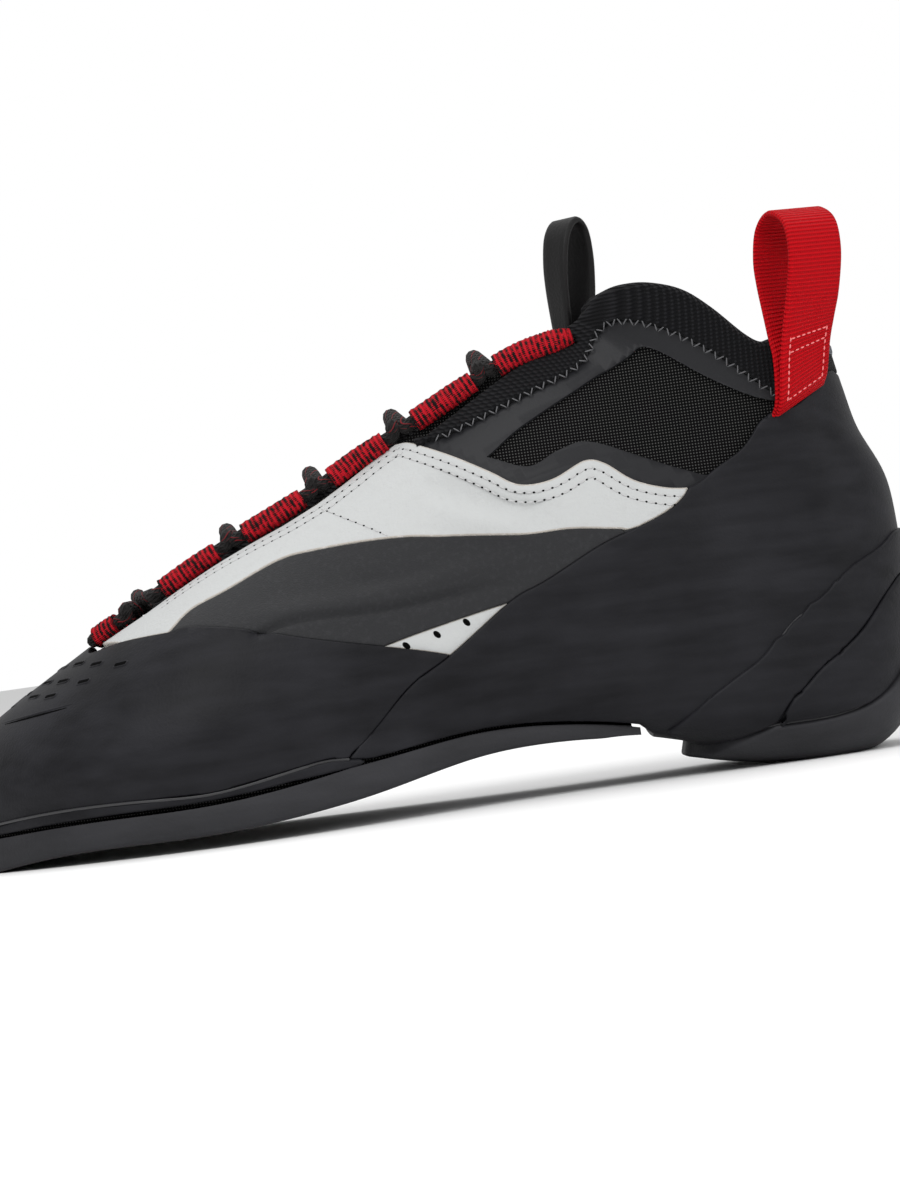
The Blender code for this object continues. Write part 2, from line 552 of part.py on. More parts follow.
def sole_edge(station, side):
    """Plan position of the sole's edge at a station, flush with the rand."""
    girth = LAST.outer if side < 0 else LAST.inner

    def plan(s):
        return np.array([float(LAST.sole_x(s)),
                         float(LAST.spine(s) + side * girth(s) * (1 - LAST.tuck(s)))])

    step = 0.05
    edge = plan(station + step) - plan(max(0.0, station - step))
    outward = np.array([-edge[1], edge[0]]) * side
    return plan(station) + outward / np.linalg.norm(outward) * (GAP + RAND)


def outsole():
    """Sheet rubber from the toe to the arch, ground flush with the rand."""
    rings = []
    for s in (0.12, 0.5, 1, 1.5, *(s for s in STATIONS if 2 <= s < OUTSOLE_BACK), OUTSOLE_BACK):
        outer, inner = sole_edge(s, -1), sole_edge(s, 1)
        taper = min(1.0, max(0.0, (s - 7.4) / (OUTSOLE_BACK - 7.4)))
        thick = OUTSOLE + (OUTSOLE_END - OUTSOLE) * taper * taper * (3 - 2 * taper)
        top = float(LAST.sole_z(max(s, 1.6))) - GAP
        low = max(0.0, top - thick)
        low = 0.0 if low < FLAT_BITE else low - FLAT_BITE * 0.5
        bevel = min(OUTSOLE_BEVEL, thick * 0.35)
        across = (outer - inner) / np.linalg.norm(outer - inner)
        ring = []
        for edge, way in ((outer, -1), (inner, 1)):
            start = low_place(s) + LIP_STEP
            rest = ((start, 2 * GAP), (max(start + 0.02, 0.69), 2 * GAP), (0.82, GAP))
            inside = [NET.lift(*NET.cell(s, way * p), lift) for p, lift in rest]
            lip = float(NET.lift(*NET.cell(max(s, 2), way * start), GAP + RAND)[2])
            if s >= 2:
                edge = NET.lift(*NET.cell(s, way * start), GAP + RAND)[:2]
            else:
                shelf = [edge + across * way * OUTSOLE_LIP * k for k in (1, 2, 4)]
                inside = [(*shelf[0], lip), (*shelf[1], top), (*shelf[2], top)]
            half = [(*(edge + across * way * bevel), low), (*edge, low + bevel), (*edge, lip)] + inside
            middle = NET.lift(*NET.cell(s, 1.0), GAP) if s >= 2 else (*((outer + inner) / 2), top)
            ring += half + [middle] if way < 0 else half[::-1]
        rings.append(ring)
    return loft("outsole", rings, SOLE)


def insole():
    """A flat liner that lies on the upper's turned-in edge."""
    rings = []
    for s in (1.6, *(s for s in STATIONS if 2 <= s <= 13.8)):
        low = [NET.lift(*NET.cell(s, p), -WALL - GAP) for p in (-0.82, 1.0, 0.82)]
        rings.append(low + [p + np.array([0, 0, INSOLE]) for p in reversed(low)])
    return loft("insole", rings, FOAM)


def tongue():
    """Padded tongue under the throat, up to the collar's front."""
    stations = (4.7, 5.2, 6, 7, 8, 9, 10, 11, 12, 13, 15, 17, 19, 20.5)
    half = [(s, LAST.place_at_width(s, TONGUE_WIDTH / 2 * min(1.0, 0.45 + (s - 4.7) * 0.4), 1)) for s in stations]
    outline = half + [(s, -p) for s, p in reversed(half)]
    return panel("tongue", outline, -WALL - GAP - TONGUE, -WALL - GAP, KNITTED, 0.0)


def leather(name, side):
    """The pale eyestay panel below the lace tunnels."""
    outline = throat_edge((5.3, 6, 7, 8, 9, 9.6), side, TUNNEL_WIDTH + GAP)
    outline += side_line(LEATHER_WAVE, side) + stretch(HEEL_FRONT, side, 7, 6)[1:]
    outline += stretch(LEATHER_LOW, side, 1, 11)[1:] + stretch(TOE_TOP, side, 4, 2)[1:]
    return panel(name, outline, GAP, GAP + LEATHER, PALE)


def band(name, side):
    """The dark band under the eyestay, from the toe rubber to the heel rubber."""
    outline = stretch(LEATHER_LOW, side, 11, 1) + stretch(HEEL_FRONT, side, 6, 3)[1:]
    outline += stretch(BAND_LOW, side, 2, 0)[1:] + stretch(TOE_BACK, side, 4, 0)[1:-1]
    return panel(name, outline, GAP, GAP + BAND, MICROFIBRE)


def side_window(name, side):
    """The small perforated piece that shows under the band."""
    outline = side_line(BAND_LOW, side) + stretch(HEEL_FRONT, side, 3, 2)[1:]
    outline += stretch(TOE_BACK, side, 5, 4)[1:-1]
    return panel(name, outline, GAP, GAP + FILM, PALE)


def film(name, side):
    """The smooth overlay that frames the mesh window on the ankle's side."""
    knit = side_line(KNIT_LOW, side)
    split = knit.index(next(spot for spot in knit if abs(spot[0] - KNIT_LOW[1][0]) < 1e-9))
    above = knit[split:] + side_line(WINDOW_TOP, side)[::-1]
    below = knit[:split + 1] + side_line(WINDOW_LOW, side) + stretch(HEEL_TOP, side, 5, 0)
    below += side_line(LEATHER_WAVE, side)[-2:0:-1]
    return panel(name, above, GAP, GAP + FILM, SMOOTH, 0.0, below)


def collar(name):
    """The knitted binding round the collar and down both edges of the throat."""
    edge = throat_edge((KNIT_TOE, 10.5, 11.5, 12.5, FREE_KNIT), 1, TUNNEL_WIDTH + GAP)
    edge += throat_edge((FREE_KNIT + 0.4, 15, 17), 1) + side_line(RIM, 1)
    low = side_line(KNIT_LOW, 1) + stretch(HEEL_TOP, 1, 5, 7)[1:]
    outline = edge + [(s, 2 - p) for s, p in reversed(edge[:-1])]
    outline += [(s, 2 - p) for s, p in low] + [(s, p) for s, p in reversed(low[:-1])]
    return panel(name, outline, GAP, GAP + KNIT, KNITTED)


def over_throat(station, across, lift):
    """A point over the throat: across runs from -1 to 1 between the two rows of tunnels."""
    width = abs(across) * (throat_half(station) + TUNNEL_WIDTH / 2)
    place = LAST.place_at_width(station, width, -1 if across < 0 else 1)
    return LAST.point(station, place) + lift * LAST.normal(station, place), LAST.normal(station, place)


def tube_rings(path, normals, width, height, count, turn=0.5):
    """Oval rings square to a path; the normals say which way is up."""
    rings = []
    for k, (centre, normal) in enumerate(zip(path, normals)):
        way = path[min(k + 1, len(path) - 1)] - path[max(k - 1, 0)]
        way = way / np.linalg.norm(way)
        across = np.cross(way, normal)
        across /= np.linalg.norm(across)
        up = np.cross(across, way)
        angles = [2 * math.pi * (c + turn) / count for c in range(count)]
        rings.append([centre + across * width / 2 * math.cos(a) + up * height / 2 * math.sin(a) for a in angles])
    return rings


def tunnel(name, side, first, last):
    """A hollow tube of folded tape along the throat's edge."""
    spots = [over_throat(first + (last - first) * k / 2, side, GAP + TUNNEL_HEIGHT / 2) for k in range(3)]
    path, normals = zip(*spots)
    skin = tube_rings(path, normals, TUNNEL_WIDTH, TUNNEL_HEIGHT, 6)
    bore = tube_rings(path, normals, TUNNEL_WIDTH - 2 * TUNNEL_WALL, TUNNEL_HEIGHT - 2 * TUNNEL_WALL, 6)
    return loft(name, skin + bore[::-1], RED, closed=True)


def soft_path(points, steps):
    """A smooth path through points in space."""
    return [np.array(p) for p in smooth(points, steps)]


def strand(name, first, last, finish, side):
    """One run of lace from a tunnel's upper end on one side to the next tunnel on the other."""
    middle = (first + last) / 2
    high = GAP + TUNNEL_HEIGHT / 2
    rest = LACE / 2 - WALL + GAP / 2
    stops = ((first, side, high), (first + 0.06, 0.9 * side, high + LACE * 0.45),
             (middle - 0.03, 0.5 * side, LACE * 0.45), (middle, 0.0, rest),
             (middle + 0.03, -0.5 * side, LACE * 0.4), (last - 0.04, -0.9 * side, high), (last, -side, high))
    spots = [over_throat(*stop) for stop in stops]
    path = soft_path([tuple(p) for p, _ in spots], 1)
    ups = soft_path([tuple(n) for _, n in spots], 1)
    return loft(name, tube_rings(path, ups, LACE, LACE, 6), finish)


def crossing(name, first, last):
    """Two runs of lace that cross over the tongue, joined."""
    thing = strand(name, first, last, LACING, -1)
    other = strand(name + "_guide", first, last, LACING, 1)
    other.hide_render = True
    other.display_type = "WIRE"
    join = thing.modifiers.new("join", "BOOLEAN")
    join.operation = "UNION"
    join.object = other
    return thing


def toe_bar(name, station):
    """The first run of lace, straight across the throat's toe end."""
    high = GAP + TUNNEL_HEIGHT / 2
    first = TUNNELS[0][0] - 0.07
    stops = ((first, -1, high), (station, -0.7, high + LACE * 0.1), (station, 0.0, high + LACE * 0.2),
             (station, 0.7, high + LACE * 0.1), (first, 1, high))
    spots = [over_throat(*stop) for stop in stops]
    path = soft_path([tuple(p) for p, _ in spots], 1)
    ups = soft_path([tuple(n) for _, n in spots], 1)
    return loft(name, tube_rings(path, ups, LACE, LACE, 6), LACING)


def tape_loop(name, path, across, width, thickness, finish):
    """A strip of tape along a path, its width along one direction."""
    across = np.array(across) / np.linalg.norm(across)
    rings = []
    for k, centre in enumerate(path):
        way = path[min(k + 1, len(path) - 1)] - path[max(k - 1, 0)]
        out = np.cross(way, across)
        out *= thickness / 2 / np.linalg.norm(out)
        half = across * width / 2
        rings.append([centre - half - out, centre + half - out, centre + half + out, centre - half + out])
    return loft(name, rings, finish)


def heel_loop():
    """Woven tape folded to a tall loop, its legs laid together on the collar's outer back corner."""
    station, height = 20.75, 0.14
    place = -LAST.place_at_height(station, height)
    normal = LAST.normal(station, place)
    flat = np.array([normal[0], normal[1], 0.0]) / math.hypot(normal[0], normal[1])
    along = np.array([-flat[1], flat[0], 0.0])
    foot = LAST.point(station, place) + normal * (2 * GAP + KNIT + TAPE * 0.9)
    gap, tall = HEEL_LOOP_GAP / 2, HEEL_LOOP_HEIGHT
    shape = ((0.0, -0.10), (0.0, 0.04), (-0.02, 0.17), (-0.35, 0.32), (-0.85, 0.58), (-0.98, 0.75), (-0.70, 0.92),
             (0.0, 1.0), (0.75, 0.92), (1.02, 0.75), (0.85, 0.55), (0.42, 0.32), (0.16, 0.17), (0.0, 0.04),
             (0.0, -0.10))
    leg = TAPE + GAP
    points = []
    for k, (out, up) in enumerate(shape):
        shift = leg if k > 7 else (leg / 2 if k == 7 else 0.0)
        lean = along * (0.10 * max(0.0, up) * tall)
        points.append(tuple(foot + flat * (out * gap + shift) + lean + np.array([0, 0, up * tall])))
    return tape_loop("heel_pull_loop", soft_path(points, 1), along, TAPE_WIDTH, TAPE, RED)


def tongue_loop():
    """A tall narrow loop of soft tape that stands on the tongue's top."""
    low = WALL - GAP - TONGUE_LOOP_TAPE / 2
    feet = [LAST.point(s, 0.0) - low * LAST.normal(s, 0.0) for s in TONGUE_TAPE_STATIONS]
    front, back = feet
    centre = (front + back) / 2
    half, tall = TONGUE_LOOP_WIDTH / 2, TONGUE_LOOP_HEIGHT
    lean = np.array([0.10, 0.0, 1.0])
    shape = ((-0.80, 0.0), (-0.98, 0.25), (-1.0, 0.55), (-0.72, 0.85), (0.0, 1.0), (0.72, 0.88), (1.0, 0.60),
             (0.92, 0.30), (0.80, 0.0))
    points = [tuple(centre + np.array([out * half, 0, 0]) + lean * up * tall) for out, up in shape]
    points[0], points[-1] = tuple(front), tuple(back)
    return tape_loop("tongue_pull_loop", soft_path(points, 2), (0, 1, 0), TONGUE_LOOP_GAP, TONGUE_LOOP_TAPE, KNITTED)


def clear_scene():
    for thing in list(bpy.data.objects):
        bpy.data.objects.remove(thing, do_unlink=True)


clear_scene()
FABRIC = material("upper lining", (0.03, 0.03, 0.03), 0.9)
RUBBER = material("wrap rubber", (0.022, 0.022, 0.026), 0.6)
SOLE = material("sole rubber", (0.018, 0.018, 0.021), 0.55)
PALE = material("pale leather", (0.72, 0.72, 0.70), 0.7)
MICROFIBRE = material("dark microfibre", (0.04, 0.042, 0.047), 0.65)
SMOOTH = material("smooth overlay", (0.035, 0.035, 0.04), 0.5)
KNITTED = material("collar knit", (0.012, 0.012, 0.012), 0.95)
RED = material("red tape", (0.62, 0.01, 0.02), 0.7)
LACING = material("lace", (0.02, 0.015, 0.016), 0.85)
FOAM = material("insole", (0.06, 0.06, 0.065), 0.9)

upper()
outsole()
heel_sole()
insole()
tongue()
toe_rubber()
rand()
heel_rubber()
SOLE_EDGE_LINE = side_line(HEEL_SOLE_FRONT[1:], 1)
heel_layer("heel_layer_low", side_line(RIB_2, 1), side_line(HEEL_SOLE_BACK, 1)[1:], HEEL_STEP_2)
heel_layer("heel_layer_high", side_line(RIB_1, 1), SOLE_EDGE_LINE[:-1] + side_line(RIB_2, 1), HEEL_STEP_1)
for tag, way in (("outer", -1), ("inner", 1)):
    leather(f"eyestay_{tag}", way)
    band(f"band_{tag}", way)
    side_window(f"side_window_{tag}", way)
    film(f"window_frame_{tag}", way)
    for number, (first, last) in enumerate(TUNNELS, 1):
        tunnel(f"lace_tunnel_{tag}_{number}", way, first, last)
collar("collar_binding")
toe_bar("lace_toe_bar", 5.22)
for number, (low, high) in enumerate(zip(TUNNELS, TUNNELS[1:]), 1):
    crossing(f"lace_crossing_{number}", low[1] + LACE_CLEAR, high[0] - LACE_CLEAR)
heel_loop()
tongue_loop()
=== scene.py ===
"""Looks of a left climbing shoe that stands empty on its sole.

The toe points along -X, the outer (little toe) side is -Y and +Z is up.  Sizes are in metres.
"""

import logging
import math
from dataclasses import dataclass, field
from enum import Enum
from typing import Callable, Iterable, Optional, Sequence

import bmesh
import bpy
import numpy as np
from mathutils import Matrix, Vector


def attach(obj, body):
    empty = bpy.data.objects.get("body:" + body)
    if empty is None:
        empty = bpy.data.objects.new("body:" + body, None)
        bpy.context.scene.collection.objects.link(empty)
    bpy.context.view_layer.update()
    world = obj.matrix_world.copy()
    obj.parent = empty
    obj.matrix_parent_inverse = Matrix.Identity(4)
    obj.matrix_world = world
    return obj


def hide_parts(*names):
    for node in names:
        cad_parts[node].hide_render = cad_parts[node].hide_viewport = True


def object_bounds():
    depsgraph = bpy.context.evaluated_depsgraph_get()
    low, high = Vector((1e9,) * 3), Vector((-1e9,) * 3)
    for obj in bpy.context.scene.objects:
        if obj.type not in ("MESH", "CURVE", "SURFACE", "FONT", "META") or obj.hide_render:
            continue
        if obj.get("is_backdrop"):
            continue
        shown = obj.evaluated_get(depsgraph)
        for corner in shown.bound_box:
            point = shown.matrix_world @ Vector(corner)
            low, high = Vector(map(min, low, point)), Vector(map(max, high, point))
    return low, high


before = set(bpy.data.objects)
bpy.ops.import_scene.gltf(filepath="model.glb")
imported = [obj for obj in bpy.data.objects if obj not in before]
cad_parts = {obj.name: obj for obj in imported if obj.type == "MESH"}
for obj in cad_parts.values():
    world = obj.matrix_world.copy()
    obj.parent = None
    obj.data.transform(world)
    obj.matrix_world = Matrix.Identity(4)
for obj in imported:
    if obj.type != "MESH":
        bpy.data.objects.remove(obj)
CAD_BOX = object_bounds()
LOG = logging.getLogger("shoe")

Spot = tuple[float, float]
Line = list[Spot]
Frame = tuple[np.ndarray, np.ndarray, np.ndarray]
Row = tuple[Sequence[np.ndarray], Callable[[np.ndarray], np.ndarray]]
Colour = tuple[float, float, float]
MM = 0.001
ALONG_STEP = 0.02
AROUND_STEP = 0.01
FULL_TURN = 2 * math.pi
QUARTER = math.pi / 2


class Side(Enum):
    """The two sides of the foot, as the sign of a place round the section."""

    OUTER = -1
    INNER = 1

    @property
    def tag(self) -> str:
        """The side's name as the nodes spell it."""
        return self.name.lower()


@dataclass(frozen=True)
class ShoeSizes:
    """Sizes that the whole shoe shares, in metres."""

    length: float = 0.2542
    heel_back: float = 0.0262
    ball_width: float = 0.0880
    heel_width: float = 0.0592
    collar_height: float = 0.1190
    heel_height: float = 0.1005
    arch_rise: float = 0.0113
    tip_rise: float = 0.0095
    wall: float = 0.0020
    outsole: float = 0.0042
    outsole_end: float = 0.0016
    outsole_bevel: float = 0.0012
    heel_sole: float = 0.0021
    heel_sole_edge: float = 0.0012
    toe_rubber: float = 0.0018
    rand: float = 0.0021
    heel_rubber: float = 0.0018
    heel_step_1: float = 0.0006
    heel_step_2: float = 0.0012
    leather: float = 0.0013
    band: float = 0.0012
    film: float = 0.0007
    knit: float = 0.0018
    tongue: float = 0.0026
    throat_width: float = 0.0170
    tongue_width: float = 0.0440
    tunnel_width: float = 0.0064
    tunnel_height: float = 0.0054
    tunnel_wall: float = 0.0007
    lace: float = 0.0038
    tape_width: float = 0.0150
    tape: float = 0.0015
    heel_loop_height: float = 0.0403
    heel_loop_gap: float = 0.0150
    tongue_loop_width: float = 0.0094
    tongue_loop_height: float = 0.0243
    tongue_loop_gap: float = 0.0086
    tongue_loop_tape: float = 0.0018
    gap: float = 0.0003
    flat_bite: float = 0.0004

    @property
    def bed(self) -> float:
        """Height of the last's lowest line."""
        return self.outsole + self.gap

    @property
    def skin(self) -> float:
        """How far the rubber stands off the last."""
        return self.gap + self.toe_rubber


SIZES = ShoeSizes()

# name, sole x, tip, arch, back, top x, over, spine, of, outer, inner, mid, tuck, low, box, high
SECTIONS = (
    ("tip", 0, 1, 0, 0, 0, 0, 0.175, "ball", 0, 0, 0.46, 0, 0.8, 2.4, 2),
    ("nail", 0.01, 0.37, 0, 0, 0.013, 0.103, 0.169, "ball", 0.11, 0.095, 0.45, 0, 0.75, 2.6, 2),
    ("toes", 0.038, 0, 0, 0, 0.048, 0.193, 0.154, "ball", 0.21, 0.196, 0.42, 0.02, 0.7, 3, 2),
    ("toe_root", 0.08, 0, 0, 0, 0.086, 0.252, 0.135, "ball", 0.316, 0.281, 0.38, 0.03, 0.6, 3.5, 2),
    ("toe_box", 0.14, 0, 0.19, 0, 0.134, 0.315, 0.108, "ball", 0.436, 0.35, 0.34, 0.03, 0.5, 3.8, 1.95),
    ("knuckle", 0.216, 0, 0.28, 0, 0.194, 0.388, 0.083, "ball", 0.529, 0.396, 0.31, 0.03, 0.45, 4, 1.9),
    ("ball", 0.304, 0, 0.29, 0, 0.26, 0.469, 0.06, "ball", 0.581, 0.419, 0.29, 0.03, 0.42, 4, 1.9),
    ("instep", 0.388, 0, 0.42, 0, 0.33, 0.553, 0.045, "ball", 0.564, 0.388, 0.28, 0.04, 0.4, 4, 1.9),
    ("waist", 0.476, 0, 0.68, 0, 0.402, 0.633, 0.033, "ball", 0.496, 0.341, 0.27, 0.06, 0.42, 3.8, 1.85),
    ("shank", 0.564, 0, 0.98, 0, 0.474, 0.71, 0.023, "ball", 0.426, 0.303, 0.26, 0.08, 0.46, 3.5, 1.95),
    ("arch", 0.648, 0, 0.96, 0, 0.542, 0.787, 0.015, "heel", 0.56, 0.425, 0.25, 0.08, 0.5, 3.3, 2.15),
    ("seat_front", 0.728, 0, 0.72, 0, 0.602, 0.854, 0.009, "heel", 0.538, 0.447, 0.24, 0.06, 0.5, 3.1, 2.3),
    ("seat", 0.804, 0, 0.28, 0, 0.648, 0.906, 0.004, "heel", 0.527, 0.484, 0.23, 0.04, 0.5, 3, 2.35),
    ("heel", 0.888, 0, 0, 0, 0.676, 0.932, 0, "heel", 0.509, 0.491, 0.23, 0.03, 0.48, 3, 2.35),
    ("heel_edge", 0.948, 0, 0, 0.013, 0.694, 0.948, 0, "heel", 0.473, 0.462, 0.25, 0.02, 0.56, 2.8, 2.35),
    ("heel_low", 0.982, 0, 0, 0.115, 0.704, 0.955, 0, "heel", 0.447, 0.44, 0.28, 0.01, 0.7, 2.4, 2.35),
    ("heel_back", 0.994, 0, 0, 0.255, 0.71, 0.961, 0, "heel", 0.429, 0.422, 0.32, 0.01, 0.8, 2.1, 2.35),
    ("bulb", 0.998, 0, 0, 0.401, 0.715, 0.966, 0, "heel", 0.415, 0.407, 0.36, 0, 0.85, 2, 2.3),
    ("bulb_top", 0.997, 0, 0, 0.56, 0.718, 0.97, 0, "heel", 0.404, 0.398, 0.39, 0, 0.85, 2, 2.3),
    ("hollow", 0.99, 0, 0, 0.66, 0.721, 0.976, 0, "heel", 0.4, 0.395, 0.42, 0, 0.85, 2, 2.3),
    ("achilles", 0.974, 0, 0, 0.755, 0.724, 0.984, 0, "heel", 0.404, 0.398, 0.44, 0, 0.85, 2, 2.3),
    ("cuff", 0.965, 0, 0, 0.854, 0.727, 1, 0, "heel", 0.411, 0.405, 0.46, 0, 0.85, 2, 2.3),
    ("rim", 0.957, 0, 0, 0.969, 0.73, 1.024, 0, "heel", 0.418, 0.413, 0.47, 0, 0.85, 2, 2.3),
    ("above", 0.953, 0, 0, 1.083, 0.733, 1.07, 0, "heel", 0.422, 0.416, 0.48, 0, 0.85, 2, 2.3),
)
SIDE_TOP = 0.50
SIDE_LOW = 0.60

# Outlines on one side of the shoe, as (station, height share of that section).
RIM = ((19.6, 0.97), (20.9, 0.95), (21.85, 0.89), (22.3, 0.80), (22.45, 0.70), (22.4, 0.60), (22.05, 0.50),
       (21.5, 0.39), (21.4, 0.32), (21.7, 0.24), (22.0, 0.10), (22.05, 0.0))
LEATHER_WAVE = ((9.72, 0.958), (9.88, 0.942), (10.05, 0.905), (10.3, 0.85), (10.7, 0.76), (11.0, 0.70),
                (11.5, 0.685), (12.2, 0.705), (12.55, 0.69), (12.9, 0.64), (13.4, 0.61), (14.05, 0.588))
LEATHER_LOW = ((14.05, 0.588), (12.45, 0.533), (12.1, 0.535), (11.4, 0.555), (10.65, 0.575), (9.8, 0.64),
               (9.25, 0.70), (8.3, 0.795), (7.8, 0.835), (7.1, 0.84), (6.6, 0.85), (6.25, 0.815))
TOE_TOP = ((5.1, 1.0), (5.15, 0.955), (5.6, 0.905), (6.0, 0.85), (6.25, 0.815))
TOE_BACK = ((6.25, 0.815), (6.55, 0.785), (7.2, 0.655), (7.8, 0.53), (8.5, 0.405), (9.15, 0.30))
BAND_LOW = ((8.5, 0.405), (9.3, 0.40), (10.1, 0.405))
HEEL_FRONT = ((7.65, 0.085), (8.45, 0.235), (9.15, 0.30), (10.1, 0.405), (10.7, 0.44), (11.65, 0.50),
              (12.45, 0.533), (14.05, 0.588))
HEEL_TOP = ((14.05, 0.588), (15.25, 0.565), (16.65, 0.50), (18.0, 0.425), (19.1, 0.34), (19.65, 0.265),
            (21.3, 0.075), (21.5, 0.0))
RAND_TOP = ((0.32, 0.0), (0.62, 0.16), (1.0, 0.24), (2.0, 0.28), (3.4, 0.22), (4.3, 0.178), (5.3, 0.134),
            (6.1, 0.10), (7.0, 0.106), (7.4, 0.104), (7.65, 0.085))
WINDOW_TOP = ((10.75, 0.80), (11.7, 0.835), (14.3, 0.868), (17.6, 0.815), (18.9, 0.75), (18.8, 0.60),
              (19.0, 0.46), (19.5, 0.33))
WINDOW_LOW = ((10.75, 0.80), (11.25, 0.735), (11.85, 0.745), (12.5, 0.745), (13.35, 0.69), (14.35, 0.62),
              (14.9, 0.575), (15.7, 0.545), (17.1, 0.475), (18.9, 0.36), (19.5, 0.33))
KNIT_LOW = ((9.95, 0.926), (10.4, 0.90), (11.5, 0.89), (13.0, 0.895), (16.0, 0.92), (19.0, 0.90),
            (20.2, 0.86), (20.75, 0.78), (20.85, 0.68), (20.7, 0.57), (20.4, 0.46), (20.0, 0.36),
            (19.65, 0.265))
HEEL_SOLE_FRONT = ((11.55, 0.0), (11.75, 0.006), (12.2, 0.03), (12.7, 0.058))
HEEL_SOLE_BACK = ((12.7, 0.058), (13.8, 0.062), (14.9, 0.040), (15.5, 0.012), (15.8, 0.0))
RIB_1 = ((11.35, 0.03), (11.85, 0.085), (12.75, 0.183), (14.1, 0.265), (15.85, 0.195), (17.2, 0.06),
         (17.6, 0.0))
RIB_2 = ((12.7, 0.058), (13.2, 0.115), (14.0, 0.158), (15.3, 0.13), (16.45, 0.06), (17.0, 0.0))
RAND_TOE = ((2.0, 0.64), (1.6, 0.663), (1.2, 0.685), (1.0, 0.714), (0.85, 0.767), (0.7, 0.825), (0.62, 0.9),
            (0.59, 1.0))
THROAT = ((5.2, 0.55), (6.0, 1.0), (8.0, 1.0), (9.2, 0.80), (10.5, 0.85), (13.0, 0.95), (19.6, 0.95))
TUNNELS = ((5.3, 5.62), (6.35, 7.15), (7.55, 8.38), (8.8, 9.62), (10.1, 11.15), (11.65, 14.5))
THROAT_TOE = 5.2
FREE_KNIT = 14.6
OUTSOLE_BACK = 11.0
RAND_BACK = 7.65
LIP_PLACES = (0.64, 0.76)
LIP_STEP = 0.006

# Fine cuts along and round the shoe, about 2 mm apart.
STATION_CUTS = tuple(k / 8 for k in range(23 * 8 + 1))
PLACE_CUTS = (tuple(SIDE_TOP * k / 26 for k in range(26)) + (0.5, 0.52, 0.54, 0.56, 0.58, 0.6)
              + tuple(0.6 + 0.4 * k / 16 for k in range(1, 17)))


class Curve:
    """A smooth column of the section table, carried on past the toe tip by its mirror image."""

    MIRRORED = 3

    def __init__(self, values: np.ndarray, beyond: np.ndarray) -> None:
        """Fits a natural cubic through the values.

        Args:
            values: one value for each section.
            beyond: the values that mirror them past the toe tip.
        """
        self.knots = np.concatenate([beyond[self.MIRRORED:0:-1], values])
        count = len(self.knots)
        matrix = np.eye(count)
        right = np.zeros(count)
        for i in range(1, count - 1):
            matrix[i, i - 1:i + 2] = 1, 4, 1
            right[i] = 6 * (self.knots[i + 1] - 2 * self.knots[i] + self.knots[i - 1])
        self.bend = np.linalg.solve(matrix, right)

    def __call__(self, station: np.ndarray) -> np.ndarray:
        """The column's value at stations between the sections."""
        u = np.clip(np.asarray(station, float) + self.MIRRORED, 0, len(self.knots) - 1 - 1e-9)
        i = u.astype(int)
        f = u - i
        line = (1 - f) * self.knots[i] + f * self.knots[i + 1]
        return line + (((1 - f) ** 3 - (1 - f)) * self.bend[i] + (f ** 3 - f) * self.bend[i + 1]) / 6


